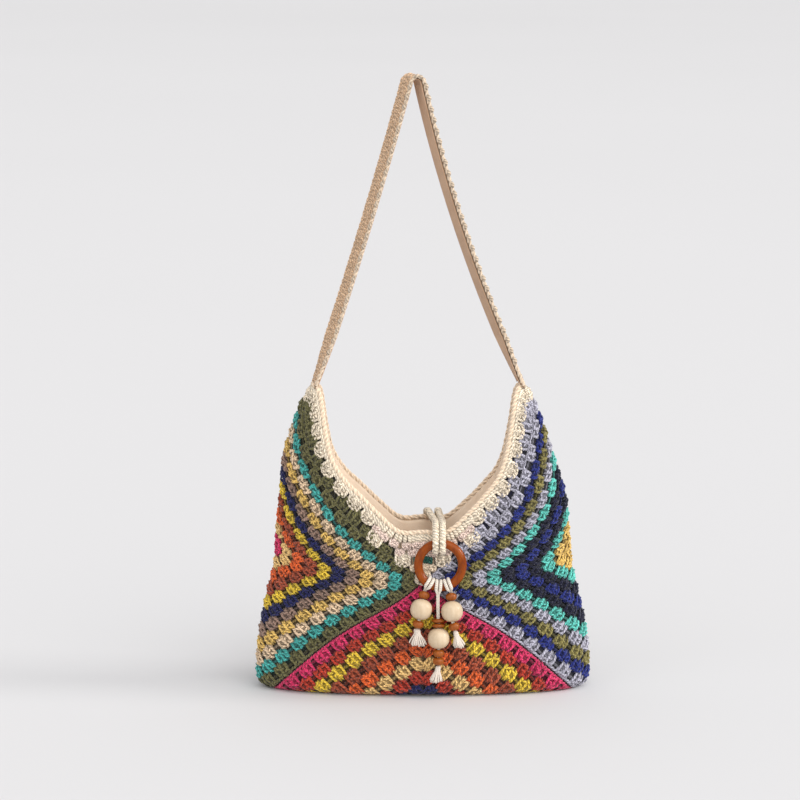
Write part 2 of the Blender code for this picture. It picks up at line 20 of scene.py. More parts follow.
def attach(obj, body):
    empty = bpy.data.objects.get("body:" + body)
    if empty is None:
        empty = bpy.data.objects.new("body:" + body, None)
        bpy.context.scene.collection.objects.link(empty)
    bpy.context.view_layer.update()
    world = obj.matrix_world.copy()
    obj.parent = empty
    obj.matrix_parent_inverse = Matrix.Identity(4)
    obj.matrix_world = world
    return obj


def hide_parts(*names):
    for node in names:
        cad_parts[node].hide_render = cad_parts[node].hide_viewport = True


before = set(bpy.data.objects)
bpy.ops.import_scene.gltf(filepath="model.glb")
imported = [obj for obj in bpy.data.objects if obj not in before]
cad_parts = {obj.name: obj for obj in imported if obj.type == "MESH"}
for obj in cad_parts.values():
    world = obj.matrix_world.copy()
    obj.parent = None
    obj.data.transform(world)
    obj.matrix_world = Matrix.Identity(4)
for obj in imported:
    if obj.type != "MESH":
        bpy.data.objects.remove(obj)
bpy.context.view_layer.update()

LOG = logging.getLogger("granny_square_bag")

MM = 0.001
Array = np.ndarray
Place = Callable[[Array, Array], Array]
RowMap = Callable[[Array], Array]
Colour = tuple[float, float, float]

CREAM_SLOT = "cream_crochet"
CORD_SLOT = "white_cotton_cord"

# The bag's standing form, as in the CAD source: shares of the square's diagonal and of the belly.
SIDE_LINE = (
    (0.00, 0.497), (0.07, 0.500), (0.18, 0.491), (0.30, 0.466), (0.39, 0.444), (0.57, 0.429),
    (0.69, 0.407), (0.785, 0.380), (0.87, 0.348), (0.94, 0.312), (1.02, 0.285),
)
BELLY_LINE = (
    (0.00, 0.970), (0.09, 1.000), (0.21, 0.990), (0.33, 0.915), (0.45, 0.815), (0.57, 0.760),
    (0.72, 0.705), (0.87, 0.640), (1.02, 0.600),
)
MOUTH_LINE = (
    (0.00, 0.000), (0.17, 0.005), (0.30, 0.115), (0.45, 0.260), (0.56, 0.370), (0.64, 0.490),
    (0.72, 0.660), (0.82, 0.850), (0.92, 0.960), (1.00, 1.000),
)


def srgb(red: int, green: int, blue: int) -> Colour:
    """Turns a colour as a screen shows it into the linear colour that a shader wants.

    Args:
        red: red, 0 to 255.
        green: green, 0 to 255.
        blue: blue, 0 to 255.

    Returns:
        The linear colour.
    """
    levels = (level / 255 for level in (red, green, blue))
    return tuple(s / 12.92 if s <= 0.04045 else ((s + 0.055) / 1.055) ** 2.4 for s in levels)


class Yarn(Enum):
    """The colours of yarn that the bag is crocheted from."""

    HOT_PINK = srgb(234, 58, 112)
    BRICK = srgb(200, 64, 44)
    RUST = srgb(182, 86, 56)
    YELLOW = srgb(246, 210, 66)
    ORANGE = srgb(242, 108, 48)
    PALE_GOLD = srgb(255, 212, 138)
    NAVY = srgb(30, 34, 92)
    MIDNIGHT = srgb(26, 28, 56)
    ROYAL = srgb(36, 50, 136)
    OLIVE = srgb(118, 114, 72)
    MOSS = srgb(148, 138, 80)
    TEAL = srgb(76, 184, 176)
    AQUA = srgb(104, 214, 200)
    SHELL = srgb(246, 216, 180)
    GOLDEN = srgb(248, 206, 114)
    TAUPE = srgb(166, 136, 120)
    LAVENDER = srgb(194, 192, 208)
    MILK = srgb(255, 240, 216)
    CREAM = srgb(238, 216, 190)
    ROSE_TAUPE = srgb(255, 230, 216)
    SAND = srgb(255, 234, 206)
    DEEP_TEAL = srgb(40, 104, 92)
    TAN = srgb(232, 194, 156)


class Body(Enum):
    """The CAD bodies that most pieces ride on."""

    BAG = "bag"
    RING = "ring"


# ---------------------------------------------------------------- shaders


class Value:
    """A number in a shader, so that the maths on it is written as Python."""

    def __init__(self, tree: "Tree", socket: bpy.types.NodeSocket) -> None:
        """Wraps a socket of a tree."""
        self.tree, self.socket = tree, socket

    def maths(self, operation: str, *values: "Value | float") -> "Value":
        """What a Math node makes of some values, in order."""
        return self.tree.value("Math", {"operation": operation}, dict(enumerate(values)))

    def __add__(self, other: "Value | float") -> "Value":
        """The sum."""
        return self.maths("ADD", self, other)

    def __sub__(self, other: "Value | float") -> "Value":
        """The difference."""
        return self.maths("SUBTRACT", self, other)

    def __mul__(self, other: "Value | float") -> "Value":
        """The product."""
        return self.maths("MULTIPLY", self, other)

    def sine(self) -> "Value":
        """The sine."""
        return self.maths("SINE", self)

    def cosine(self) -> "Value":
        """The cosine."""
        return self.maths("COSINE", self)

    def between(self, low: float, high: float) -> "Value":
        """Brings a range to 0 to 1, and holds what lies outside it."""
        return self.tree.value("MapRange", {"clamp": True}, {0: self, 1: low, 2: high, 3: 0.0, 4: 1.0})


class Tree:
    """The nodes of one material."""

    def __init__(self, name: str) -> None:
        """Starts a material with a Principled BSDF."""
        self.material = bpy.data.materials.new(name)
        self.material.use_nodes = True
        self.nodes = self.material.node_tree.nodes
        self.links = self.material.node_tree.links

    def node(self, kind: str, settings: dict | None = None, inputs: dict | None = None) -> bpy.types.Node:
        """Adds a node.

        Args:
            kind: the node's type, without ShaderNode.
            settings: its properties.
            inputs: what its sockets take, by name or place.

        Returns:
            The node.
        """
        made = self.nodes.new("ShaderNode" + kind)
        for name, setting in (settings or {}).items():
            setattr(made, name, setting)
        for name, value in (inputs or {}).items():
            self.feed(made.inputs[name], value)
        return made

    def value(self, kind: str, settings: dict | None = None, inputs: dict | None = None) -> Value:
        """The first result of a new node, for maths."""
        return Value(self, self.node(kind, settings, inputs).outputs[0])

    def feed(self, socket: bpy.types.NodeSocket, value: object) -> None:
        """Sets a socket to a number or a colour, or links a value or another socket to it."""
        if isinstance(value, Value):
            self.links.new(value.socket, socket)
        elif isinstance(value, bpy.types.NodeSocket):
            self.links.new(value, socket)
        elif socket.type == "RGBA":
            socket.default_value = (*value, 1.0)
        else:
            socket.default_value = value

    def attribute(self, name: str, output: str) -> bpy.types.NodeSocket:
        """Reads one of the piece's own attributes."""
        return self.node("Attribute", {"attribute_name": name}).outputs[output]

    def parts(self, vector: bpy.types.NodeSocket) -> tuple[Value, Value, Value]:
        """Splits a vector into its three numbers."""
        return tuple(Value(self, out) for out in self.node("SeparateXYZ", inputs={0: vector}).outputs)

    def object_place(self) -> bpy.types.NodeSocket:
        """The place on the piece, in metres."""
        return self.node("TexCoord").outputs["Object"]

    def noise(self, place: bpy.types.NodeSocket, scale: float, detail: float = 2.0) -> Value:
        """Cloudy noise, about 0.3 to 0.7, with a number of clouds in a metre and finer layers."""
        return self.value("TexNoise", inputs={"Vector": place, "Scale": scale, "Detail": detail})

    def scaled(self, colour: bpy.types.NodeSocket | Colour, factor: Value) -> bpy.types.NodeSocket:
        """A colour made lighter or darker."""
        return self.node("VectorMath", {"operation": "SCALE"}, {"Vector": colour, "Scale": factor}).outputs[0]

    def mixed(self, first: Colour, second: Colour, share: Value) -> bpy.types.NodeSocket:
        """Two colours mixed, with the second where the share is 1."""
        return self.node("Mix", {"data_type": "RGBA"}, {0: share, 6: first, 7: second}).outputs[2]

    def bump(self, height: Value, distance: float, strength: float = 1.0) -> bpy.types.NodeSocket:
        """A bump of a height in metres."""
        return self.node("Bump", inputs={"Height": height, "Distance": distance, "Strength": strength}).outputs[0]

    def finish(self, **sockets: object) -> bpy.types.Material:
        """Feeds the shader's own sockets, named with underscores for spaces.

        Args:
            sockets: what each socket takes.

        Returns:
            The finished material.
        """
        for name, value in sockets.items():
            self.feed(self.nodes["Principled BSDF"].inputs[name.replace("_", " ")], value)
        return self.material


@dataclass(frozen=True)
class YarnFinish:
    """Plied yarn: two strands that wind round each stitch, with painted shade in the pits between them."""

    name: str
    turn: float
    painted_pit_light: float
    bump_depth: float
    mottle: float = 0.30
    smoothest: float = 0.80
    fuzz: float = 0.35

    def build(self) -> bpy.types.Material:
        """Builds the material, which reads the colour attribute yarn and the attribute stitch."""
        tree = Tree(self.name)
        place = tree.object_place()
        across, outward, along = tree.parts(tree.attribute("stitch", "Vector"))
        turn = along * (4 * math.pi / self.turn)
        height = (across * across - outward * outward) * turn.cosine() + across * outward * 2 * turn.sine()
        light = height.between(-0.75, 0.85)
        cloud, patch = tree.noise(place, 900, 3), tree.noise(place, 120)
        # Painted shade: the base colour darkens towards the pit light in the grooves between the strands.
        shade = light * (1.12 - self.painted_pit_light) + self.painted_pit_light
        shade = shade * ((cloud - 0.5) * self.mottle * 2 + (patch - 0.5) * self.mottle + 1)
        return tree.finish(
            Base_Color=tree.scaled(tree.attribute("yarn", "Color"), shade),
            Roughness=cloud * 0.12 + self.smoothest,
            Normal=tree.bump(light + cloud * self.fuzz, self.bump_depth),
            Sheen_Weight=0.25,
            Sheen_Roughness=0.5,
            Specular_IOR_Level=0.25,
        )


@dataclass(frozen=True)
class WovenFinish:
    """Plain woven cloth, whose threads follow the attribute weave in metres."""

    name: str
    colour: Colour
    shade: Colour
    thread: float = 0.9 * MM
    smoothest: float = 0.77

    def build(self) -> bpy.types.Material:
        """Builds the material."""
        tree = Tree(self.name)
        place = tree.object_place()
        across, along, _ = tree.parts(tree.attribute("weave", "Vector"))
        pace = math.pi / self.thread
        weave = ((across * pace).sine() * (along * pace).sine()).between(-1.0, 1.0)
        cloud, slub = tree.noise(place, 60, 4), tree.noise(place, 700)
        share = (weave * 0.35 + cloud * 0.9 + slub * 0.4 - 0.35).between(0.0, 1.0)
        return tree.finish(
            Base_Color=tree.mixed(self.shade, self.colour, share),
            Roughness=slub * 0.1 + self.smoothest,
            Normal=tree.bump(weave + slub * 0.5, 0.2 * MM),
            Sheen_Weight=0.15,
            Specular_IOR_Level=0.25,
        )


@dataclass(frozen=True)
class WoodFinish:
    """Turned wood with a fine grain that runs along the piece's height."""

    name: str
    light: Colour
    dark: Colour
    stretch: float
    smoothest: float
    coat: float
    grain_scale: float = 260
    specular: float = 0.4

    def build(self) -> bpy.types.Material:
        """Builds the material."""
        tree = Tree(self.name)
        mapping = {"Vector": tree.object_place(), "Scale": (1.0, 1.0, self.stretch)}
        stretched = tree.node("Mapping", inputs=mapping).outputs[0]
        bands, pores = tree.noise(stretched, self.grain_scale, 4), tree.noise(stretched, self.grain_scale * 5, 2)
        share = ((bands - 0.5) * 1.6 + (pores - 0.5) * 0.7 + 0.5).between(0.0, 1.0)
        return tree.finish(
            Base_Color=tree.mixed(self.light, self.dark, share),
            Roughness=pores * 0.16 + self.smoothest,
            Normal=tree.bump(pores, 0.05 * MM, 0.4),
            Specular_IOR_Level=self.specular,
            Coat_Weight=self.coat,
            Coat_Roughness=0.12,
        )


@dataclass(frozen=True)
class FloorFinish:
    """A plain pale studio floor."""

    name: str = "studio_floor"
    colour: Colour = srgb(214, 214, 216)

    def build(self) -> bpy.types.Material:
        """Builds the material."""
        tree = Tree(self.name)
        place = tree.object_place()
        _, back, _ = tree.parts(place)
        # Painted shade: the floor grows up to 8% darker towards the back, with faint mottling.
        shade = tree.noise(place, 0.4) * 0.03 + 0.985 - back.between(0.5, 14.0) * 0.08
        return tree.finish(Base_Color=tree.scaled(self.colour, shade), Roughness=0.9)


class Finishes:
    """Every material of the bag, built once."""

    def __init__(self) -> None:
        """Builds the materials."""
        self.crochet = YarnFinish("crochet_yarn", 6.0 * MM, 0.55, 0.4 * MM).build()
        self.ground = YarnFinish("crochet_ground", 4.2 * MM, 0.6, 0.5 * MM, 0.5).build()
        self.rope = YarnFinish("crochet_rope", 9.0 * MM, 0.8, 0.2 * MM, 0.16).build()
        self.cotton = YarnFinish("cotton_cord", 3.2 * MM, 0.72, 0.25 * MM, 0.12).build()
        self.thread = YarnFinish("tassel_thread", 2.4 * MM, 0.8, 0.12 * MM, 0.14).build()
        self.lining = WovenFinish("lining_cotton", srgb(248, 230, 208), srgb(236, 210, 184)).build()
        self.tape = WovenFinish("backing_tape", srgb(226, 190, 158), srgb(198, 160, 128), 0.7 * MM).build()
        self.mahogany = WoodFinish(
            "mahogany_varnish", srgb(158, 74, 0), srgb(108, 42, 0), 0.3, 0.18, 0.3, 180, 0.1
        ).build()
        self.maple = WoodFinish("pale_maple", srgb(216, 196, 168), srgb(198, 174, 142), 0.25, 0.34, 0.15).build()
        self.cherry = WoodFinish(
            "brown_cherry", srgb(172, 92, 26), srgb(118, 58, 12), 0.3, 0.28, 0.15, 420, 0.25
        ).build()


# ---------------------------------------------------------------- surfaces


class SmoothCurve:
    """A smooth curve through (place, value) stations, read at any place."""

    def __init__(self, stations: Sequence[tuple[float, float]]) -> None:
        """Takes the stations and works out the slope at each."""
        self.places, self.values = np.array(stations, float).T
        self.slopes = np.gradient(self.values, self.places)

    def __call__(self, place: Array | float) -> Array:
        """Reads the curve at some places."""
        place = np.clip(place, self.places[0], self.places[-1])
        i = np.clip(np.searchsorted(self.places, place) - 1, 0, len(self.places) - 2)
        span = self.places[i + 1] - self.places[i]
        t = (place - self.places[i]) / span
        return (
            (1 + 2 * t) * (1 - t) ** 2 * self.values[i]
            + t * (1 - t) ** 2 * span * self.slopes[i]
            + t * t * (3 - 2 * t) * self.values[i + 1]
            + t * t * (t - 1) * span * self.slopes[i + 1]
        )


def lengths_along(line: Array) -> Array:
    """The length up to each point of a line."""
    return np.concatenate([[0], np.cumsum(np.linalg.norm(np.diff(line, axis=0), axis=1))])


@dataclass
class BagForm:
    """The standing bag's surface, by the same formulas as the CAD source, read for many points."""

    square_side: float = 0.236
    belly_depth: float = 0.095
    base_rounding: float = 0.012
    flank_gather: float = 0.017
    neck_gather: float = 0.020
    neck_lean: float = 0.0050
    lean_from: float = 0.190
    lean_to: float = 0.250
    mouth_low: float = 0.170
    seam_gap: float = 0.0004
    horn_ease: float = 0.0018
    horn_top_share: float = 0.941
    edge_at_horn_share: float = 0.914
    column_count: int = 129
    row_count: int = 420

    def __post_init__(self) -> None:
        """Works out a table of the front's points, from which every place is read."""
        self.diagonal = self.square_side * math.sqrt(2)
        self.half = self.diagonal / 2
        self.girth = 4 * self.half
        self.horn_top = self.horn_top_share * self.diagonal
        self.side, self.belly, self.mouth = map(SmoothCurve, (SIDE_LINE, BELLY_LINE, MOUTH_LINE))
        self.angles = np.linspace(0, math.pi / 2, 91)
        wide, deep = self.half_width(self.half), self.half_depth(self.half)
        pace = np.hypot(wide * np.cos(self.angles), deep * np.sin(self.angles))
        run = np.concatenate([[0], np.cumsum((pace[1:] + pace[:-1]) / 2)])
        self.shares = run / run[-1]
        self.columns = np.linspace(0, self.half, self.column_count)
        traced = [self.column(across) for across in self.columns]
        self.lengths = np.linspace(0, min(along[-1] for along, _ in traced), self.row_count)
        self.table = np.stack([read_rows(self.lengths, along, points) for along, points in traced])
        along, points = traced[-1]
        edge_at_horn = self.edge_at_horn_share * self.diagonal
        self.take_up = float(np.interp(edge_at_horn, points[:, 2], along)) / self.diagonal
        turns = np.interp(self.columns / self.half, self.shares, self.angles)
        rim_z = self.mouth_low + (self.horn_top - self.mouth_low) * self.mouth(np.sin(turns))
        self.rims = np.array([np.interp(z, p[:, 2], a) for z, (a, p) in zip(rim_z, traced)])

    def half_width(self, z: Array | float) -> Array:
        """Half the bag's width at a height."""
        return self.diagonal * self.side(z / self.diagonal)

    def half_depth(self, z: Array | float) -> Array:
        """Half the bag's depth at a height."""
        return self.belly_depth / 2 * self.belly(z / self.diagonal)

    def column(self, across: float) -> tuple[Array, Array]:
        """One column of the front.

        Args:
            across: the distance along the cloth from the middle of the front.

        Returns:
            The lengths up from the base line, and the point at each length.
        """
        turn = float(np.interp(across / self.half, self.shares, self.angles))
        rolled = np.linspace(0, math.pi / 2, 10)
        rounding = self.base_rounding
        upright = np.linspace(rounding, 1.015 * self.diagonal, 90)[1:]
        z = np.concatenate([rounding * (1 - np.cos(rolled)), upright])
        inset = np.zeros(len(z))
        inset[: len(rolled)] = rounding * (1 - np.sin(rolled))
        x = (self.half_width(z) - inset) * math.sin(turn)
        y = -(self.half_depth(z) - inset) * math.cos(turn)
        points = np.vstack([[x[0], 0, 0], np.stack([x, y, z], axis=1)])
        return lengths_along(points), points

    def height_of(self, across: Array, up: Array) -> Array:
        """The length up a column of the flat cloth's point, after the gathers."""
        gather = np.where(up < self.half, self.flank_gather, self.neck_gather)
        wave = np.abs(np.sin(math.pi * across / self.half)) * np.sin(math.pi * np.minimum(up / self.half, 2))
        return (up + gather * wave) * self.take_up

    def on_column(self, across: Array, length: Array, side: Array) -> Array:
        """The bag's points.

        Args:
            across: the distances along the cloth from the middle of the front or back.
            length: the lengths up the columns.
            side: -1 on the front and 1 on the back.

        Returns:
            A row of x, y and z for each.
        """
        over = np.abs(across) > self.half
        side = np.where(over, -side, side)
        across = np.where(over, np.copysign(2 * self.half - np.abs(across), across), across)
        i = np.abs(across) / self.half * (self.column_count - 1)
        j = np.clip(length / self.lengths[1], 0, self.row_count - 1.001)
        i0 = np.clip(i.astype(int), 0, self.column_count - 2)
        j0 = j.astype(int)
        s, t = (i - i0)[:, None], (j - j0)[:, None]
        low, high = (self.table[i0, j] * (1 - s) + self.table[i0 + 1, j] * s for j in (j0, j0 + 1))
        points = low * (1 - t) + high * t
        points = points * np.stack([np.sign(across), -side, np.ones(len(i))], axis=1)
        points[:, 0] -= self.lean_at(points[:, 2])
        return points

    def lean_at(self, z: Array | float) -> Array:
        """How far the neck leans to the left at a height."""
        share = np.clip((z - self.lean_from) / (self.lean_to - self.lean_from), 0, 1)
        return self.neck_lean * share * share * (3 - 2 * share)

    def rim_length(self, across: Array) -> Array:
        """The length up a column at which the mouth's edge lies."""
        across = np.abs(across)
        return np.interp(np.where(across > self.half, 2 * self.half - across, across), self.columns, self.rims)

    def cloth_point(self, across: Array, up: Array, side: Array) -> Array:
        """The bag's point for a place on the flat cloth; a negative up is past the base line."""
        return self.on_column(across, self.height_of(across, np.abs(up)), np.where(up < 0, -side, side))

    def left_place(self, u: Array, v: Array) -> Array:
        """Left square: u runs from the back over the side fold to the front, v runs up."""
        return self.cloth_point(np.abs(u) - self.half, v + self.half, np.where(u >= 0, -1, 1))

    def right_place(self, u: Array, v: Array) -> Array:
        """Right square: u runs from the front over the side fold to the back, v runs up."""
        return self.cloth_point(self.half - np.abs(u), v + self.half, np.where(u <= 0, -1, 1))

    def bottom_place(self, u: Array, v: Array) -> Array:
        """Bottom square: u runs across, v runs from the back under the base to the front."""
        return self.cloth_point(u, v, np.full(len(u), -1))

    def round_mouth(self, u: Array) -> tuple[Array, Array]:
        """Across and side for a distance round the mouth, from the left horn, front first."""
        u = np.mod(u, self.girth)
        front = u <= 2 * self.half
        return np.where(front, u - self.half, 3 * self.half - u), np.where(front, -1, 1)

    def edging_drop(self, u: Array) -> Array:
        """How far below the rim the squares' edge lies."""
        across, _ = self.round_mouth(u)
        reach = np.abs(across)
        ease = self.horn_ease * (reach / self.half) ** 16
        low = self.height_of(across, self.half + reach) + self.seam_gap + ease
        return self.rim_length(across) - low

    def lining_place(self, u: Array, v: Array) -> Array:
        """Lining: u runs across, v from the back rim (-1) under the base to the front rim (1)."""
        return self.on_column(u, np.abs(v) * (self.rim_length(u) - 5 * MM), np.where(v >= 0, -1, 1))

    def relief_share(self, points: Array) -> Array:
        """The stitches are pressed flat where the bag rests, and full from the base's rounding up."""
        return np.clip(points[:, 2] / self.base_rounding, 0, 1)


def read_rows(at: Array, along: Array, rows: Array) -> Array:
    """Reads three columns of numbers, which are known along a line, at other places."""
    return np.stack([np.interp(at, along, rows[:, k]) for k in range(3)], 1)


def laid(flat: Array, place: Place, step: float = 0.6 * MM) -> Array:
    """Lays flat points on a surface.

    Args:
        flat: rows of two distances on the cloth and an offset outwards.
        place: the surface.
        step: the distance over which its slope is taken.

    Returns:
        Rows of x, y and z.
    """
    u, v, offset = flat.T
    upward = place(u, v + step) - place(u, v - step)
    facing = np.cross(place(u + step, v) - place(u - step, v), upward)
    size = np.linalg.norm(facing, axis=1)
    pinched = size < 0.05 * step * np.linalg.norm(upward, axis=1)
    facing[pinched] = (0, 0, -1)
    size[pinched] = 1
    return place(u, v) + facing * (offset / size)[:, None]


# ---------------------------------------------------------------- meshes


@dataclass(frozen=True)
class Label:
    """A piece's name, the CAD node that it stands for, its material slot, its finish and its body."""

    name: str
    node: str
    slot: str
    material: bpy.types.Material
    body: str = Body.BAG.value


def put_in_scene(name: str, data: bpy.types.ID) -> bpy.types.Object:
    """Makes an object of a mesh, a camera or a light."""
    made = bpy.data.objects.new(name, data)
    bpy.context.scene.collection.objects.link(made)
    return made


def add_piece(label: Label, mesh: bpy.types.Mesh) -> bpy.types.Object:
    """Puts a mesh, which is in its place, in the scene as a piece."""
    mesh.materials.append(label.material)
    mesh.shade_smooth()
    piece = put_in_scene(label.name, mesh)
    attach(piece, label.body)
    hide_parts(label.node)
    LOG.info("%s: %d faces on %s", label.name, len(mesh.polygons), label.body)
    return piece


def mesh_of(bm: bmesh.types.BMesh, name: str) -> bpy.types.Mesh:
    """Makes a mesh of a bmesh, which is used up."""
    mesh = bpy.data.meshes.new(name)
    bm.to_mesh(mesh)
    bm.free()
    return mesh


def edit_mesh(mesh: bpy.types.Mesh, change: Callable[[bmesh.types.BMesh], object]) -> None:
    """Changes a mesh with a bmesh operator."""
    bm = bmesh.new()
    bm.from_mesh(mesh)
    change(bm)
    bm.to_mesh(mesh)
    bm.free()


def set_attribute(mesh: bpy.types.Mesh, name: str, values: Array) -> None:
    """Gives each point of a mesh its yarn's colour, with any painted shade, or else a vector."""
    if name == "yarn":
        values = np.hstack([values, np.ones((len(values), 1))])
        data, kind = mesh.color_attributes.new(name, "FLOAT_COLOR", "POINT").data, "color"
    else:
        data, kind = mesh.attributes.new(name, "FLOAT_VECTOR", "POINT").data, "vector"
    data.foreach_set(kind, values.astype(np.float32).ravel())


def points_of(mesh: bpy.types.Mesh) -> Array:
    """The points of a mesh, as rows."""
    points = np.empty(len(mesh.vertices) * 3, np.float32)
    mesh.vertices.foreach_get("co", points)
    return points.reshape(-1, 3).astype(float)


def set_points(mesh: bpy.types.Mesh, points: Array) -> None:
    """Moves the points of a mesh to rows of x, y and z."""
    mesh.vertices.foreach_set("co", points.astype(np.float32).ravel())
    mesh.update()


class Rod:
    """A capped rod along +Y from 0 to 1, one unit round, that is copied for every stitch."""

    def __init__(self, sides: int, cuts: Sequence[float]) -> None:
        """Makes the rod, with a number of sides, and cut at places between 0 and 1."""
        bm = bmesh.new()
        bmesh.ops.create_cone(bm, cap_ends=True, segments=sides, radius1=1, radius2=1, depth=1)
        bmesh.ops.rotate(bm, verts=bm.verts, cent=(0, 0, 0), matrix=Matrix.Rotation(math.radians(-90), 3, "X"))
        bmesh.ops.translate(bm, verts=bm.verts, vec=(0, 0.5, 0))
        for cut in cuts:
            whole = bm.verts[:] + bm.edges[:] + bm.faces[:]
            bmesh.ops.bisect_plane(bm, geom=whole, plane_co=(0, cut, 0), plane_no=(0, 1, 0), dist=1e-5)
        bmesh.ops.recalc_face_normals(bm, faces=bm.faces)
        self.mesh = mesh_of(bm, "rod")
        self.points = points_of(self.mesh)

    def copies(self, label: Label, points: Array, colours: Array, stitches: Array) -> bpy.types.Object:
        """Builds a piece of copies of the rod.

        Args:
            label: the piece's label.
            points: the place of every point, copy by copy.
            colours: the colour of every point.
            stitches: across, outward and along in the stitch, for every point.

        Returns:
            The piece.
        """
        bm = bmesh.new()
        for _ in range(len(points) // len(self.points)):
            bm.from_mesh(self.mesh)
        mesh = mesh_of(bm, label.name)
        set_points(mesh, points)
        set_attribute(mesh, "yarn", colours)
        set_attribute(mesh, "stitch", stitches)
        edit_mesh(mesh, lambda bm: bmesh.ops.recalc_face_normals(bm, faces=bm.faces))
        return add_piece(label, mesh)


STITCH_ROD = Rod(5, (0.18, 0.5, 0.82))


@dataclass(frozen=True)
class StitchForm:
    """A stitch's form, with its lengths in millimetres.

    Attributes:
        width: how wide it is across.
        thick: how thick it is.
        levels: the offset outwards of its middle line at the root, halfway and at the tip.
        taper: the share of its width at the root and at the tip.
        bow: how far its middle swings to its right, seen from the root.
    """

    width: float
    thick: float
    levels: tuple[float, float, float]
    taper: tuple[float, float] = (1.0, 1.0)
    bow: float = 0.0


JOINING_CHAIN = StitchForm(3.0, 2.2, (-0.9, -0.1, -0.9))
BORDER_STITCH = StitchForm(2.4, 2.2, (-0.2, 0.6, 0.2))
LOBE_CHAIN = StitchForm(3.4, 3.2, (0.4, 1.3, 0.4))
RIB = StitchForm(5.2, 2.8, (0.0, 1.4, 0.6))
PICOT = StitchForm(4.6, 4.0, (2.0, 2.8, 2.0))
LOOP_LINK = StitchForm(3.8, 3.0, (-0.3, 1.0, -0.3))


@dataclass
class Stitches:
    """Plump stitches, gathered in flat cloth coordinates and then laid on a surface."""

    seed: int = 1
    pit_shade: float = 0.42
    rows: list = field(default_factory=list)

    def __post_init__(self) -> None:
        """Starts the chance that makes each stitch a little its own."""
        self.chance = np.random.default_rng(self.seed)

    def add(self, root: Sequence[float], tip: Sequence[float], form: StitchForm, colour: Sequence[float]) -> None:
        """Adds a stitch from one place on the cloth to another."""
        lengths = (form.width, form.thick, *form.levels, form.bow)
        self.rows.append((*root, *tip, *(length * MM for length in lengths), *form.taper, *colour))

    def tinted(self, colour: Sequence[float], spread: float) -> Array:
        """A colour made a little lighter or darker by chance."""
        return np.array(colour) * (1 + self.chance.uniform(-spread, spread))

    def add_cluster(
        self, root: Array, tip: Array, width: float, rise: float, colour: Sequence[float], swell: float = 1.5
    ) -> None:
        """Adds a rounded cluster: a middle darkened as painted shade, stitches of two crossing strands each, and
        loose loops.

        Args:
            root: where it starts on the cloth.
            tip: where it ends.
            width: how wide it is in the middle, in millimetres.
            rise: how far it stands out of the cloth, in millimetres.
            colour: its colour.
            swell: how far its outer stitches bow outwards, in millimetres.
        """
        chance = self.chance
        run = tip - root
        way = run / float(np.linalg.norm(run))
        aside = np.array([-way[1], way[0]])
        reach = width / 2 - swell - 1.4
        # Painted shade: the middle under the strands is the cluster's colour times pit_shade.
        core = StitchForm(0.84 * width, 3.0, (-1.4, rise - 1.5, -1.2))
        self.add(root + run * 0.06, tip - run * 0.06, core, np.array(colour) * self.pit_shade)
        for post in (-1.0, 1.0, 0.0):
            for lean in (-1, 1):
                start = root + aside * (post * reach * 0.85 - lean * chance.uniform(0.7, 1.8)) * MM
                end = tip + aside * (post * reach + lean * chance.uniform(0.7, 1.9)) * MM
                levels = (-0.9, rise * (1.05 - 0.35 * abs(post)) + lean * 0.4, -0.3)
                strand = StitchForm(chance.uniform(2.7, 3.3), 2.5, levels, (0.85, 1.0), -post * swell)
                self.add(start, end, strand, self.tinted(colour, 0.18))
        loop = StitchForm(2.4, 2.2, (0.3 * rise, rise + 1.0, 0.3 * rise))
        for share, spot in ((0.78, -0.7), (0.84, 0.05), (0.76, 0.75), (0.36, -0.4), (0.5, 0.45)):
            middle = root + run * (share + chance.uniform(-0.07, 0.07))
            middle = middle + aside * reach * (spot + chance.uniform(-0.2, 0.2)) * MM
            half = (aside * 2.3 + way * chance.choice((-1, 1)) * chance.uniform(0.8, 2.2)) * MM
            self.add(middle - half, middle + half, loop, self.tinted(colour, 0.18))

    def build(self, label: Label, place: Place, relief: RowMap | None = None) -> bpy.types.Object:
        """Lays the stitches on a surface as one piece.

        Args:
            label: the piece's label.
            place: the surface.
            relief: the share of the offset outwards that each point keeps, or None for all.

        Returns:
            The piece.
        """
        rows = np.array(self.rows)
        x, y, z = STITCH_ROD.points.T
        root, tip = rows[:, None, 0:2], rows[:, None, 2:4]
        width, thick, low, mid, high, bow, at_root, at_tip = (rows[:, None, k] for k in range(4, 12))
        taper = at_root * (1 - y) + at_tip * y
        swell = 0.45 + 0.55 * (1 - np.abs(2 * y - 1) ** 3)
        run = tip - root
        length = np.linalg.norm(run, axis=2, keepdims=True)
        aside = np.stack([run[..., 1], -run[..., 0]], axis=-1) / length
        centre = root + run * y[None, :, None] + aside * (bow * 4 * y * (1 - y))[..., None]
        plan = centre + aside * (x * swell * taper * width / 2)[..., None]
        arch = 2 * mid - (low + high) / 2
        offset = low * (1 - y) ** 2 + 2 * arch * y * (1 - y) + high * y * y
        offset = offset + z * swell * np.sqrt(taper) * thick / 2
        flat = np.concatenate([plan, offset[..., None]], axis=2).reshape(-1, 3)
        if relief is not None:
            share = relief(place(flat[:, 0], flat[:, 1]))
            flat[:, 2] = np.where(flat[:, 2] > 0, flat[:, 2] * share, flat[:, 2])
        # Painted shade: each stitch is darkened on its underside, down to pit_shade, and towards its two ends.
        shade = self.pit_shade + (1 - self.pit_shade) * np.clip((z + 0.9) / 1.5, 0, 1)
        shade = np.tile(shade * (1 - 0.35 * np.abs(2 * y - 1) ** 2), len(rows))
        colours = np.repeat(rows[:, 12:15], len(x), axis=0) * shade[:, None]
        along = length[..., 0] * y + self.chance.uniform(0, 8 * MM, len(rows))[:, None]
        stitch = np.stack([np.broadcast_to(x, along.shape), np.broadcast_to(z, along.shape), along], axis=2)
        return STITCH_ROD.copies(label, laid(flat, place), colours, stitch.reshape(-1, 3))


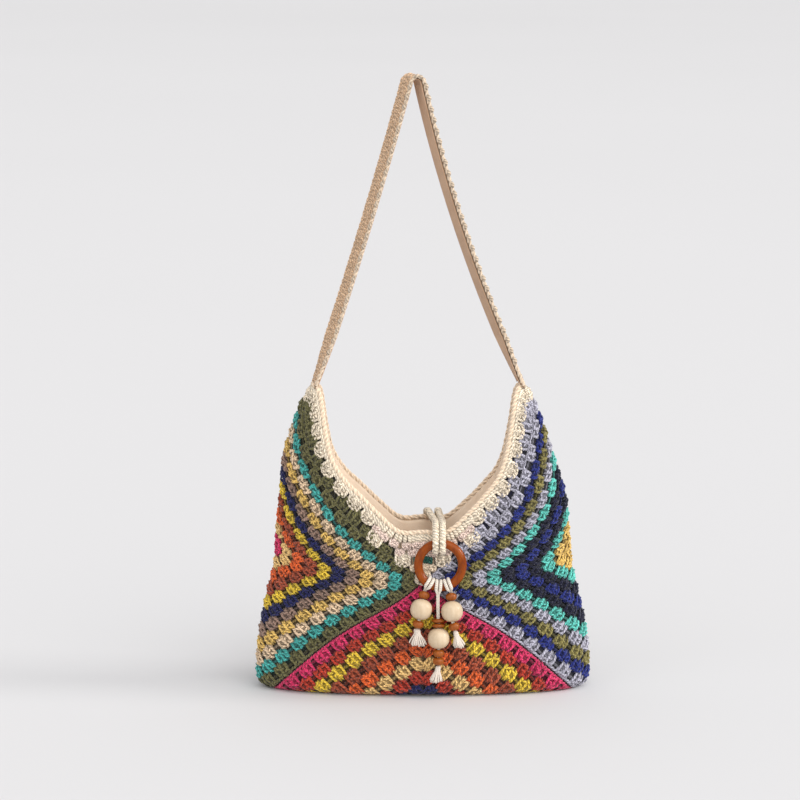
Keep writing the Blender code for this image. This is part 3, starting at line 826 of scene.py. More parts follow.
def frames_along(line: Array) -> tuple[Array, Array]:
    """Two directions across a line at each of its points, that don't spin round it."""
    forward = np.gradient(line, axis=0)
    forward /= np.linalg.norm(forward, axis=1)[:, None]
    first = np.cross(forward[0], (1.0, 0.0, 0.0))
    if np.linalg.norm(first) < 0.1:
        first = np.cross(forward[0], (0.0, 1.0, 0.0))
    aside = [first / np.linalg.norm(first)]
    for way in forward[1:]:
        turned = aside[-1] - way * float(aside[-1] @ way)
        aside.append(turned / np.linalg.norm(turned))
    aside = np.array(aside)
    return aside, np.cross(forward, aside)


def smooth_route(points: Sequence[Sequence[float]], count: int) -> Array:
    """A smooth curve of a number of points through the points of a cord's route."""
    stations = np.array(points, float)
    along = lengths_along(stations)
    at = np.linspace(0, along[-1], count)
    return np.stack([SmoothCurve(np.stack([along, stations[:, k]], 1))(at) for k in range(3)], 1)


def resampled(line: Array, count: int) -> Array:
    """A line's points spaced evenly."""
    along = lengths_along(line)
    return read_rows(np.linspace(0, along[-1], count), along, line)


@dataclass
class Strands:
    """Round strands that follow lines, with closed ends."""

    sides: int
    lines: list = field(default_factory=list)

    def add(self, line: Array, radius: float | Array, colour: Sequence[float]) -> None:
        """Adds a strand along a line."""
        self.lines.append((line, radius, colour))

    def build(self, label: Label, points: int) -> bpy.types.Object:
        """Builds the strands as one piece, with a number of points along each."""
        rod = Rod(self.sides, [k / (points - 1) for k in range(1, points - 1)])
        x, y, z = rod.points.T
        level = np.round(y * (points - 1)).astype(int)
        places, stitches, colours = [], [], []
        for line, radius, colour in self.lines:
            line = resampled(line, points)
            aside, up = frames_along(line)
            thick = np.broadcast_to(radius, points)[level][:, None]
            places.append(line[level] + (aside[level] * x[:, None] + up[level] * z[:, None]) * thick)
            stitches.append(np.stack([x, z, lengths_along(line)[level]], 1))
            colours.append(np.tile(colour, (len(x), 1)))
        return rod.copies(label, *map(np.concatenate, (places, colours, stitches)))


def twisted(line: Array, count: int, reach: float, lay: float) -> list[Array]:
    """The middle lines of strands that wind round a line, as in a rope.

    Args:
        line: the rope's middle line, closely spaced.
        count: how many strands there are.
        reach: how far each lies from the middle line.
        lay: the length of one turn.

    Returns:
        A line for each strand.
    """
    aside, up = frames_along(line)
    turns = [2 * math.pi * (lengths_along(line) / lay + strand / count)[:, None] for strand in range(count)]
    return [line + reach * (np.cos(turn) * aside + np.sin(turn) * up) for turn in turns]


# How far the ground's yarn winds in a metre of cloth, in radians.
GROUND_TWIST = 900


def ground_sheet(
    label: Label, size: tuple[float, float], cells: tuple[int, int], to_flat: RowMap, place: Place, wall: float,
    colour_of: RowMap | None = None,
) -> bpy.types.Object:
    """A thin sheet of cloth laid on a surface.

    Args:
        label: the piece's label.
        size: the sheet's flat width and length.
        cells: how many cells it has across and along.
        to_flat: turns rows of its own flat points into rows of flat points on the surface.
        place: the surface.
        wall: its thickness.
        colour_of: the yarn's colour at its own flat points, darkened as painted shade, where its finish reads it.

    Returns:
        The piece.
    """
    bm = bmesh.new()
    bmesh.ops.create_grid(bm, x_segments=cells[0], y_segments=cells[1], size=0.5)
    bmesh.ops.scale(bm, vec=(*size, 1), verts=bm.verts)
    mesh = mesh_of(bm, label.name)
    own = points_of(mesh)
    set_points(mesh, laid(to_flat(own), place))
    if colour_of is None:
        set_attribute(mesh, "weave", own)
    else:
        set_attribute(mesh, "yarn", colour_of(own))
        turn = own[:, 0] * GROUND_TWIST
        set_attribute(mesh, "stitch", np.stack([np.cos(turn), np.sin(turn), own[:, 1]], 1))
    piece = add_piece(label, mesh)
    skin = piece.modifiers.new("wall", "SOLIDIFY")
    skin.thickness, skin.offset = wall, -1
    return piece


# ---------------------------------------------------------------- the bag's crochet


@dataclass
class GrannySquare:
    """One crocheted granny square: fans of three stitches in rounds, over a darker ground of painted shade."""

    node: str
    place: Place
    rounds_out: Sequence[Yarn]
    slot: str
    form: BagForm
    seed: int
    rounds: int = 11
    border_pitch: float = 4.6 * MM
    painted_ground_shade: float = 0.11

    def __post_init__(self) -> None:
        """Works out the width of a round."""
        self.unit = (self.form.square_side - self.form.seam_gap) / 2 / self.rounds
        self.stitches = Stitches(self.seed)
        self.chance = np.random.default_rng(self.seed + 100)

    @staticmethod
    def turned(side: int, along: float, out: float) -> Array:
        """A point of the square as it stands on its corner.

        Args:
            side: which of the square's sides it is on.
            along: the distance along that side from its middle.
            out: the distance out from the square's middle.

        Returns:
            The flat point.
        """
        angle = math.pi / 2 * side + math.pi / 4
        c, s = math.cos(angle), math.sin(angle)
        return np.array([c * out - s * along, s * out + c * along])

    def add_cluster(self, ring: int, side: int, middle: float) -> None:
        """Adds one rounded cluster and the chain that joins it to the next.

        Args:
            ring: the round, counted from the middle.
            side: the side of the square.
            middle: the middle of the cluster along the side, in round widths.
        """
        unit, chance = self.unit, self.chance
        corner = ring > 1 and abs(middle) > ring - 1.5
        away = -math.copysign(0.24, middle) if corner else 0.0
        shift, turn = chance.uniform(-0.05, 0.05), chance.uniform(-0.09, 0.09)
        along = unit * (middle + away + shift)
        low, high = {self.rounds: (1.36, -0.02), self.rounds - 1: (1.22, 0.04)}.get(ring, (1.22, 0.20))
        root = self.turned(side, along - unit * turn, unit * (ring - low))
        tip = self.turned(side, along + unit * turn, unit * (ring + high))
        width = chance.uniform(15.8, 17.4) * (0.82 if corner else 1.0)
        rise = chance.uniform(1.7, 2.4)
        colour = self.stitches.tinted(self.rounds_out[ring - 1].value, 0.08)
        self.stitches.add_cluster(root, tip, width, rise, colour)
        # Painted shade: the joining chain sits low between the clusters and takes the round's colour at 0.3.
        lift = chance.uniform(-0.8, 0.8) * MM
        start = self.turned(side, unit * (middle + 0.45), unit * (ring - 0.52) + lift)
        end = self.turned(side, unit * (middle + 1.55), unit * (ring - 0.52) - lift)
        self.stitches.add(start, end, JOINING_CHAIN, colour * 0.3)

    def add_border(self, side: int) -> None:
        """Adds the row of small slanting stitches along one edge."""
        reach = self.unit * self.rounds
        count = round(2 * reach / self.border_pitch)
        for k in range(count):
            start = -reach + 2 * reach * k / count
            root = self.turned(side, start, reach - 0.7 * MM)
            tip = self.turned(side, start + 1.35 * self.border_pitch, reach - 2.6 * MM)
            self.stitches.add(root, tip, BORDER_STITCH, self.stitches.tinted(self.rounds_out[-1].value, 0.12))

    def ground_colour(self, own: Array) -> Array:
        """The painted shade of the ground under each flat point: a dark form of its round's colour."""
        ring = np.ceil(np.abs(own[:, :2]).max(axis=1) / self.unit - 1e-6).astype(int)
        # Painted shade: each round's colour dimmed to about a tenth, so that the ground shows dark between the
        # clusters.
        table = np.array([yarn.value for yarn in self.rounds_out]) * self.painted_ground_shade + 0.004
        return table[np.clip(ring, 1, self.rounds) - 1]

    @staticmethod
    def on_corner(own: Array) -> Array:
        """Turns the square's own points onto its corner, at the ground's depth."""
        c = math.sqrt(0.5)
        x, y = own[:, 0], own[:, 1]
        return np.stack([c * (x - y), c * (x + y), np.full(len(own), -1.3 * MM)], 1)

    def build(self, finishes: Finishes) -> None:
        """Builds the clusters and the ground, which stand for the CAD square."""
        for ring in range(1, self.rounds + 1):
            for side in range(4):
                for k in range(ring):
                    self.add_cluster(ring, side, -ring + 2 * k + 1)
        for side in range(4):
            self.add_border(side)
        label = Label(self.node + "_clusters", self.node, self.slot, finishes.crochet)
        clusters = self.stitches.build(label, self.place, self.form.relief_share)
        side = 2 * self.unit * self.rounds
        label = Label(self.node + "_ground", self.node, self.slot, finishes.ground)
        ground = ground_sheet(
            label, (side, side), (66, 66), self.on_corner, self.place, 0.9 * MM, self.ground_colour
        )


@dataclass
class NeckEdging:
    """The cream edging: a twisted rim, a scallop of lobes, and rows of stitches in the low neck."""

    form: BagForm
    seed: int = 7
    lobe_pitch: float = 19.5 * MM
    lobe_width: float = 18.5
    lobe_length: float = 14.5 * MM
    band: float = 17.5 * MM
    bare_middle: float = 14.0 * MM
    low_neck: float = 50.0 * MM
    lobe_overlap: float = 2.6 * MM
    post_pitch: float = 3.6 * MM
    patch_pitch: float = 8.6 * MM
    row_height: float = 7.4 * MM
    rope_depth: float = 2.3 * MM
    rope_strand: float = 1.45 * MM
    rope_lay: float = 24.0 * MM
    row_yarns: tuple[Yarn, ...] = (Yarn.ROSE_TAUPE, Yarn.ROSE_TAUPE, Yarn.DEEP_TEAL, Yarn.SAND, Yarn.SAND)

    def __post_init__(self) -> None:
        """Reads the rim and the squares' edge in cloth coordinates, round the mouth and up."""
        self.stitches = Stitches(self.seed, pit_shade=0.80)
        self.filling = Stitches(self.seed + 1)
        self.chance = np.random.default_rng(self.seed + 100)
        self.u = np.linspace(0, self.form.girth, 4001)
        across, _ = self.form.round_mouth(self.u)
        self.rim = self.form.rim_length(across)
        self.edge = self.rim - self.form.edging_drop(self.u)
        slope = np.gradient(self.rim, self.u)
        self.inwards = np.stack([slope, -np.ones(len(slope))], 1) / np.hypot(slope, 1)[:, None]
        self.along = lengths_along(np.stack([self.u, self.rim], 1))
        self.total = self.along[-1]

    def place(self, u: Array, length: Array) -> Array:
        """A point of the neck: u runs round the mouth and length runs up the column."""
        across, side = self.form.round_mouth(u)
        return self.form.on_column(across, length, side)

    def from_rim(self, run: float, deep: float) -> Array:
        """A flat point by its distance round the rim and its distance in from it."""
        u = float(np.interp(run % self.total, self.along, self.u))
        way = np.array([np.interp(u, self.u, self.inwards[:, k]) for k in range(2)])
        return np.array([u, np.interp(u, self.u, self.rim)]) + way * deep

    def gap(self, run: float) -> float:
        """How far in from the rim the squares' edge lies."""
        steps = np.arange(8, 121) * 0.5 * MM
        base, one = self.from_rim(run, 0.0), self.from_rim(run, 1.0)
        points = base + (one - base) * steps[:, None]
        below = points[:, 1] < np.interp(points[:, 0] % self.form.girth, self.u, self.edge)
        return float(steps[np.argmax(below)]) if below.any() else float(steps[-1])

    def reach(self, run: float) -> float:
        """How far in from the rim the cream lobes reach: a band at the sides, all the way in the low neck."""
        low = max(0.0, self.low_neck - abs(self.across_at(run)))
        return min(self.gap(run) + self.lobe_overlap, self.band + 1.2 * low)

    def across_at(self, run: float) -> float:
        """The distance from the middle of the front or back at a distance round the rim."""
        return float(self.form.round_mouth(self.from_rim(run, 0.0)[:1])[0][0])

    def add_lobe(self, root: Array, tip: Array, width: float, rise: float, swell: float = 1.5) -> None:
        """Adds a cream cluster with chain stitches round its tip."""
        self.stitches.add_cluster(root, tip, width, rise, Yarn.MILK.value, swell)
        way = (tip - root) / float(np.linalg.norm(tip - root))
        aside = np.array([-way[1], way[0]])
        points = [tip + (aside * t * 8.0 + way * (0.6 - 3.4 * t * t)) * MM for t in np.linspace(-1, 1, 5)]
        for start, end in zip(points, points[1:]):
            self.stitches.add(start, end + (end - start) * 0.25, LOBE_CHAIN, Yarn.MILK.value)

    def add_lobes(self) -> None:
        """Adds the cream lobes, and between them the clusters that carry on the squares' colour."""
        count = 2 * round(self.total / self.lobe_pitch / 2)
        for k in range(count):
            run = (k + 0.5) / count * self.total
            reach = self.reach(run)
            root = self.from_rim(run, max(2.5 * MM, reach - self.lobe_length))
            self.add_lobe(root, self.from_rim(run, reach), self.lobe_width, 2.4, 2.2)
        for run in (0.0, self.total / 2):
            self.add_lobe(self.from_rim(run, 3.5 * MM), self.from_rim(run, 17.0 * MM), 15.0, 2.2)
        for k in range(count):
            run = k / count * self.total
            gap, across = self.gap(run), self.across_at(run)
            if gap < self.band or abs(across) < self.bare_middle:
                continue
            root = self.from_rim(run, gap + 3.0 * MM)
            tip = self.from_rim(run, min(self.reach(run), gap) - 6.0 * MM)
            yarn = Yarn.OLIVE if across < 0 else Yarn.LAVENDER
            self.filling.add_cluster(root, tip, 17.5, 1.4, self.filling.tinted(yarn.value, 0.1))

    def add_ribs(self) -> None:
        """Adds the row of ribs under the rim."""
        count = round(self.total / self.post_pitch)
        for k in range(count):
            run = k / count * self.total
            deep = min(13.0 * MM, self.reach(run) - 8.0 * MM)
            start, end = self.from_rim(run, 3.4 * MM), self.from_rim(run + self.chance.uniform(-1, 1) * MM, deep)
            self.stitches.add(end, start, RIB, self.stitches.tinted(Yarn.MILK.value, 0.1))

    def add_rows(self) -> None:
        """Adds the rows of small clusters below the ribs, where the neck is tall."""
        count = round(self.total / self.patch_pitch)
        for row, yarn in enumerate(self.row_yarns):
            top = 11.0 * MM + row * self.row_height
            for k in range(count):
                run = (k + 0.5 * (row % 2)) / count * self.total
                if self.reach(run) - top < self.row_height + 5.0 * MM:
                    continue
                root, tip = self.from_rim(run, top + self.row_height + 1.5 * MM), self.from_rim(run, top)
                at_back = run >= self.total / 2
                shown = Yarn.ROSE_TAUPE if at_back and yarn is Yarn.DEEP_TEAL else yarn
                self.stitches.add_cluster(root, tip, 11.5, 1.1, shown.value)

    def ground_colour(self, own: Array) -> Array:
        """Painted shade of dark olive or dark blue by the squares' edge, and tan near the rim."""
        u = own[:, 0] + self.form.girth / 2
        drop = np.interp(u, self.u, self.rim - self.edge)
        runs = np.linspace(0, self.total, 240)
        reach = np.interp(np.interp(u, self.u, self.along), runs, [self.reach(float(run)) for run in runs])
        share = np.clip((reach - self.lobe_length * 0.6 - (0.5 - own[:, 1]) * drop) / (4 * MM), 0, 1)[:, None]
        # Painted shade: by the squares' edge the ground shows dark olive or dark blue between the clusters.
        dark = np.where((self.form.round_mouth(u)[0] < 0)[:, None], srgb(52, 48, 28), srgb(34, 34, 58))
        return dark * (1 - share) + np.array(srgb(232, 202, 168)) * share

    def to_flat(self, own: Array) -> Array:
        """The ground's own points, spread from the squares' edge to the rim."""
        u = own[:, 0] + self.form.girth / 2
        rim, edge = np.interp(u, self.u, self.rim), np.interp(u, self.u, self.edge)
        height = edge + (own[:, 1] + 0.5) * (rim - 1.0 * MM - edge)
        return np.stack([u, height, np.full(len(u), -1.2 * MM)], 1)

    def build(self, finishes: Finishes) -> None:
        """Builds the edging's pieces, which stand for the CAD edging."""

        def label(part: str, material: bpy.types.Material) -> Label:
            """The label of one of the pieces."""
            return Label(part, "neck_edging", CREAM_SLOT, material)

        self.add_lobes()
        self.add_ribs()
        self.add_rows()
        stitches = self.stitches.build(label("neck_edging_stitches", finishes.crochet), self.place)
        filling = self.filling.build(label("neck_edging_clusters", finishes.crochet), self.place)
        middle = np.stack([self.u, self.rim, np.full(len(self.u), -0.4 * MM)], 1)
        middle[:, :2] += self.inwards * self.rope_depth
        rope = Strands(sides=8)
        for strand in twisted(resampled(laid(middle, self.place), 900), 3, 1.2 * MM, self.rope_lay):
            rope.add(strand, self.rope_strand, Yarn.CREAM.value)
        rim = rope.build(label("mouth_rope", finishes.rope), 640)
        girth = self.form.girth
        ground = ground_sheet(
            label("neck_edging_ground", finishes.ground), (girth, 1.0), (220, 20), self.to_flat, self.place,
            0.9 * MM, self.ground_colour,
        )
        area = float((self.rim - self.edge).mean() * girth)


@dataclass
class Lining:
    """The cloth bag inside the crochet, with soft upright folds."""

    form: BagForm
    inset: float = 2.4 * MM
    ease: float = 3.9 * MM
    ease_depth: float = 14 * MM
    fold_depth: float = 1.6 * MM

    def to_flat(self, own: Array) -> Array:
        """The sheet's own points, set in from the crochet and gently folded."""
        u, v = own[:, 0], own[:, 1] * 2
        settle = np.minimum(1, (1 - np.abs(v)) * self.form.rim_length(u) / self.ease_depth)
        middle = 1 - (np.abs(u) / self.form.half) ** 8
        wave = np.sin(u * 160 + 2 * np.sin(v * 5)) + 0.6 * np.sin(u * 310 + v * 9)
        fold = self.fold_depth * 0.5 * (1 + wave / 1.6) * middle * settle * np.clip(np.abs(v) * 5, 0, 1)
        return np.stack([u, v, -(self.inset + self.ease * settle + fold)], 1)

    def build(self, finishes: Finishes) -> None:
        """Builds the lining, which stands for the CAD lining."""
        label = Label("lining_cloth", "lining", "lining_cloth", finishes.lining)
        piece = ground_sheet(
            label, (2 * self.form.half, 1.0), (110, 150), self.to_flat, self.form.lining_place, 0.7 * MM
        )
        edit_mesh(piece.data, lambda bm: bmesh.ops.remove_doubles(bm, verts=bm.verts, dist=1e-5))


# ---------------------------------------------------------------- strap


@dataclass
class StrapLine:
    """The strap's inner face seen along its width, by the same formulas as the CAD source."""

    form: BagForm
    rise: float = 0.3045
    wall: float = 4.0 * MM
    left_bow: float = 5.0 * MM
    right_bow: float = -17.0 * MM
    apex_shift: float = -0.010
    hook_radius: float = 3.5 * MM
    touch_gap: float = 0.3 * MM
    backing_wall: float = 1.0 * MM
    strap_turn: float = math.radians(24)
    foot_turn: float = math.radians(8)
    turn_rise: float = 0.045
    rope_rise: float = 1.6 * MM

    def __post_init__(self) -> None:
        """Works out the line from the left horn over the hook to the right horn."""
        top = self.form.horn_top
        foot = float(self.form.half_width(top)) - self.wall
        foot_z = top + self.rope_rise / 2
        apex = np.array([self.apex_shift, top + self.rise - self.hook_radius - self.wall])
        lean = float(self.form.lean_at(top))
        left, right = np.array([-foot - lean, foot_z]), np.array([foot - lean, foot_z])
        lean_left = math.atan2(apex[0] - left[0], apex[1] - left[1])
        lean_right = math.atan2(right[0] - apex[0], apex[1] - right[1])
        turns = np.linspace(math.pi - lean_left, lean_right, 17)
        reach = self.hook_radius + self.touch_gap + self.backing_wall
        over = apex + reach * np.stack([np.cos(turns), np.sin(turns)], axis=1)
        up = self.bezier(left, self.left_bow, over[0])
        down = self.bezier(over[-1], self.right_bow, right)
        self.line = np.vstack([up, over[:-1], down, right])
        self.along = lengths_along(self.line)
        self.length = float(self.along[-1])

    @staticmethod
    def bezier(start: Array, bow: float, end: Array, count: int = 60) -> Array:
        """Points of a line that bows sideways in the middle, without its last point."""
        middle = (start + end) / 2 + np.array([bow, 0])
        t = np.arange(count)[:, None] / count
        return (1 - t) ** 2 * start + 2 * t * (1 - t) * middle + t * t * end

    def place(self, s: Array, v: Array) -> Array:
        """Points of the strap: s runs along it, and straight on past its ends, and v across it to the back."""
        x, z = (np.interp(s, self.along, self.line[:, k]) for k in range(2))
        for beyond, i, j in ((np.minimum(s, 0), 0, 1), (np.maximum(s - self.length, 0), -2, -1)):
            way = (self.line[j] - self.line[i]) / np.linalg.norm(self.line[j] - self.line[i])
            x, z = x + beyond * way[0], z + beyond * way[1]
        share = np.clip((z - self.form.horn_top) / self.turn_rise, 0, 1)
        turn = self.foot_turn + share * (self.strap_turn - self.foot_turn)
        return np.stack([x - v * np.sin(turn), v * np.cos(turn), z], axis=1)

    def foot(self, v: float) -> float:
        """How far below the line's ends the strap reaches, where the rim arches away."""
        share = math.sqrt(1 - (v / float(self.form.half_depth(self.form.horn_top))) ** 2)
        rim = self.form.mouth_low + (self.form.horn_top - self.form.mouth_low) * float(self.form.mouth(share))
        return self.form.horn_top - rim


@dataclass
class Strap:
    """The strap: slanting crochet stitches on the outside, roped edges, and a smooth backing."""

    line: StrapLine
    width: float = 24.0 * MM
    backing_width: float = 18.0 * MM
    stitch_pitch: float = 5.0 * MM
    picot_pitch: float = 11.0 * MM
    overlap: float = 3.0 * MM
    edge_shade: float = 0.86
    columns: tuple[float, ...] = (-8.8, -5.3, -1.8, 1.8, 5.3, 8.8)
    seed: int = 21

    def stitches(self) -> Stitches:
        """The outer face's columns of slanting stitches."""
        stitches = Stitches(self.seed, pit_shade=0.6)
        chance = np.random.default_rng(self.seed + 100)
        for index, column in enumerate(self.columns):
            across = column * MM
            start = -self.line.foot(across) - self.overlap
            count = int((self.line.length - 2 * start) / self.stitch_pitch)
            slant = 1.3 * MM if index % 2 else -1.3 * MM
            for k in range(count):
                s = start + k * self.stitch_pitch
                lean = slant * chance.uniform(0.5, 1.5)
                form = StitchForm(4.0, 2.6, (2.0, chance.uniform(2.9, 3.5), 2.4))
                colour = stitches.tinted(Yarn.TAN.value, 0.12)
                stitches.add((s, across - lean), (s + 7.0 * MM, across + lean), form, colour)
        return stitches

    def picots(self) -> Stitches:
        """The front edge's bright little picots."""
        stitches = Stitches(self.seed + 1, pit_shade=0.92)
        chance = np.random.default_rng(self.seed + 200)
        count = int((self.line.length - 30 * MM) / self.picot_pitch)
        rim = -self.width / 2 + 0.6 * MM
        for k in range(count):
            s = 15 * MM + (k + 0.5) * self.picot_pitch + chance.uniform(-1, 1) * MM
            colour = stitches.tinted(Yarn.CREAM.value, 0.05) * self.edge_shade
            stitches.add((s - 3.4 * MM, rim), (s + 3.4 * MM, rim - 1.4 * MM), PICOT, colour)
        return stitches

    def edge_ropes(self) -> Strands:
        """The twisted rope along each edge, brighter at the front."""
        ropes = Strands(sides=6)
        for edge in (-1, 1):
            v = edge * (self.width / 2 - 1.2 * MM)
            foot = self.line.foot(v)
            s = np.linspace(-foot, self.line.length + foot, 700)
            flat = np.stack([s, np.full(len(s), v), np.full(len(s), 1.9 * MM)], 1)
            colour = np.array(Yarn.CREAM.value) * self.edge_shade if edge < 0 else Yarn.TAN.value
            for strand in twisted(laid(flat, self.line.place), 2, 0.9 * MM, 13 * MM):
                ropes.add(strand, 1.2 * MM, colour)
        return ropes

    def spread(self, own: Array, width: float, low: float) -> Array:
        """A sheet's own points spread along the strap at an offset from its line."""
        v = own[:, 1] * width
        foot = np.array([self.line.foot(float(a)) for a in v]) + (self.overlap if low > 0 else 0.0)
        s = -foot + (own[:, 0] / self.line.length + 0.5) * (self.line.length + 2 * foot)
        return np.stack([s, v, np.full(len(v), low)], 1)

    def build(self, finishes: Finishes) -> None:
        """Builds the strap's pieces, which stand for the CAD strap and its backing."""

        def label(part: str, material: bpy.types.Material) -> Label:
            """The label of one of the strap's pieces."""
            return Label(part, "strap", CREAM_SLOT, material)

        place = self.line.place
        self.stitches().build(label("strap_stitches", finishes.crochet), place)
        self.picots().build(label("strap_picots", finishes.crochet), place)
        # Painted shade: a core sheet of tan at 0.6 under the stitches shows dark between them.
        ground_sheet(
            label("strap_core", finishes.ground), (self.line.length, 1.0), (260, 8),
            lambda own: self.spread(own, self.width - 2 * MM, 2.6 * MM), place, 2.2 * MM,
            lambda own: np.tile(np.array(Yarn.TAN.value) * 0.6, (len(own), 1)),
        )
        self.edge_ropes().build(label("strap_edge_ropes", finishes.rope), 560)
        tape = ground_sheet(
            Label("strap_tape", "strap_backing", "strap_backing_cloth", finishes.tape),
            (self.line.length, 1.0), (260, 12),
            lambda own: self.spread(own, self.backing_width, -self.line.touch_gap), place, 0.8 * MM,
        )


# ---------------------------------------------------------------- loop, ring and charm


@dataclass
class RingPlace:
    """Where the wooden ring hangs, by the same formulas as the CAD source."""

    form: BagForm
    outer: float = 0.0525
    wire: float = 8.8 * MM
    x: float = 0.0170
    below_mouth: float = 0.0108
    loop_cord: float = 5.6 * MM
    turn_gap: float = 1.0 * MM
    touch_gap: float = 0.3 * MM
    hitch_gap: float = 0.4 * MM
    strand_cord: float = 2.8 * MM
    cluster_rise: float = 2.4 * MM
    cluster_top_rise: float = 0.9 * MM

    def __post_init__(self) -> None:
        """Works out the ring's top point, the way down from it and its middle."""
        self.radius = (self.outer - self.wire) / 2
        top_z = self.form.mouth_low - self.below_mouth
        low_z = top_z - 2 * self.radius
        behind_top = self.loop_cord + self.turn_gap + 2 * self.touch_gap + self.cluster_top_rise
        behind_low = self.strand_cord + self.hitch_gap + self.touch_gap + self.cluster_rise
        self.top = Vector((self.x, self.front_y(top_z, behind_top + self.wire / 2), top_z))
        low = Vector((self.x, self.front_y(low_z, behind_low + self.wire / 2), low_z))
        self.down = (low - self.top).normalized()
        self.facing = self.down.cross(Vector((1, 0, 0)))
        self.middle = self.top + self.radius * self.down

    def front_y(self, z: float, proud: float) -> float:
        """The y of a point that stands proud of the bag's front at a height."""
        return -(float(self.form.half_depth(z)) + proud)

    def radial(self, turn: float) -> Vector:
        """Away from the ring's middle, at a turn from its lowest point."""
        return math.sin(turn) * Vector((1, 0, 0)) + math.cos(turn) * self.down


@dataclass
class ClosureLoop:
    """The doubled chain of crochet from the back rim, over the mouth and round the ring."""

    ring: RingPlace
    x: float = 0.0158
    spread: float = 6.8 * MM
    link: float = 4.6 * MM
    link_length: float = 6.4 * MM
    link_slant: float = 0.75 * MM
    core: float = 1.75 * MM
    seed: int = 31

    def route(self) -> Array:
        """The loop's middle line, by the same points as the CAD source and on over the back rim."""
        ring = self.ring
        wrap = ring.wire / 2 + ring.turn_gap + ring.loop_cord / 2
        on_rim = ring.form.mouth_low + ring.touch_gap + ring.loop_cord / 2
        rim_y = float(ring.form.half_depth(ring.form.mouth_low))
        legs = []
        for side, drift in ((1, 0.0040), (-1, 0.0085)):
            x = self.x + side * self.spread / 2
            leg = [
                (x - drift, rim_y + 0.0016, on_rim - 0.0115),
                (x - drift, rim_y + 0.0052, on_rim - 0.0060),
                (x - drift, rim_y + 0.0036, on_rim - 0.0010),
                (x - 0.9 * drift, rim_y - 0.0010, on_rim + 0.0009),
                (x - 0.6 * drift, 0.55 * rim_y, on_rim + 0.0008),
                (x - 0.25 * drift, 0, on_rim + 0.0002),
                (x, -0.6 * rim_y, on_rim + 0.0010),
                (x, -rim_y, on_rim + 0.0012),
                (x, -rim_y - 0.0070, on_rim - 0.0006),
            ]
            for turn in range(110, 361, 25):
                a = math.radians(turn)
                leg.append((x, ring.top.y + wrap * math.cos(a), ring.top.z + wrap * math.sin(a)))
            legs.append(leg)
        bight = (self.x, ring.top.y + wrap, ring.top.z + 0.4 * self.spread)
        return smooth_route([*legs[0], bight, *reversed(legs[1])], 120)

    def build(self, finishes: Finishes) -> None:
        """Builds the chain of links, which stands for the CAD loop."""
        route = self.route()
        fine = resampled(route, 400)
        aside, up = frames_along(fine)
        along = lengths_along(fine)

        def place(s: Array, arc: Array) -> Array:
            """A point round the chain: s runs along it, arc round its core."""
            turn = (-arc / self.core)[:, None]
            middle, right, above = (read_rows(s, along, rows) for rows in (fine, aside, up))
            return middle + self.core * (np.cos(turn) * right + np.sin(turn) * above)

        stitches = Stitches(self.seed, pit_shade=0.95)
        chance = np.random.default_rng(self.seed + 100)
        count = int(along[-1] / self.link)
        for k in range(count):
            s = (k + 0.1) * along[-1] / count
            for quarter in range(4):
                middle = quarter * math.pi / 2 * self.core
                slant = self.link_slant if quarter % 2 else -self.link_slant
                start = min(s + (0.5 * self.link if quarter in (1, 2) else 0.0), along[-1] - self.link_length)
                root, tip = (start, middle - slant), (start + self.link_length, middle + slant)
                stitches.add(root, tip, LOOP_LINK, np.array(Yarn.MILK.value) * chance.uniform(0.97, 1.08))
        piece = stitches.build(Label("closure_chain", "closure_loop", CREAM_SLOT, finishes.crochet), place)


def spun(
    name: str, profile: Sequence[tuple[float, float]], steps: int, spot: Vector, along: Vector
) -> bpy.types.Mesh:
    """Spins a closed profile round an axis.

    Args:
        name: the mesh's name.
        profile: the profile's points, as (radius, height).
        steps: how many steps go round.
        spot: where its middle goes.
        along: where its -Z goes.

    Returns:
        The spun mesh, in its place.
    """
    bm = bmesh.new()
    verts = [bm.verts.new((radius, 0, height)) for radius, height in profile]
    edges = [bm.edges.new(pair) for pair in zip(verts, verts[1:] + verts[:1])]
    bmesh.ops.spin(
        bm, geom=verts + edges, cent=(0, 0, 0), axis=(0, 0, 1), angle=2 * math.pi, steps=steps, use_merge=True
    )
    bmesh.ops.remove_doubles(bm, verts=bm.verts, dist=1e-6)
    bmesh.ops.recalc_face_normals(bm, faces=bm.faces)
    turn = Vector((0, 0, -1)).rotation_difference(along).to_matrix()
    bmesh.ops.rotate(bm, verts=bm.verts, cent=(0, 0, 0), matrix=turn)
    bmesh.ops.translate(bm, verts=bm.verts, vec=spot)
    return mesh_of(bm, name)


@dataclass
class WoodenRing:
    """The varnished ring."""

    ring: RingPlace
    sides: int = 28
    steps: int = 120

    def build(self, finishes: Finishes) -> None:
        """Builds the ring, which stands for the CAD ring."""
        turns = [2 * math.pi * k / self.sides for k in range(self.sides)]
        wire = self.ring.wire / 2
        profile = [(self.ring.radius + wire * math.cos(a), wire * math.sin(a)) for a in turns]
        label = Label("varnished_ring", "wooden_ring", "varnished_wood", finishes.mahogany, Body.RING.value)
        add_piece(label, spun(label.name, profile, self.steps, self.ring.middle, -self.ring.facing))


BORE = 4.0 * MM
BEAD_GAP = 0.4 * MM
BEAD_STEPS = 44


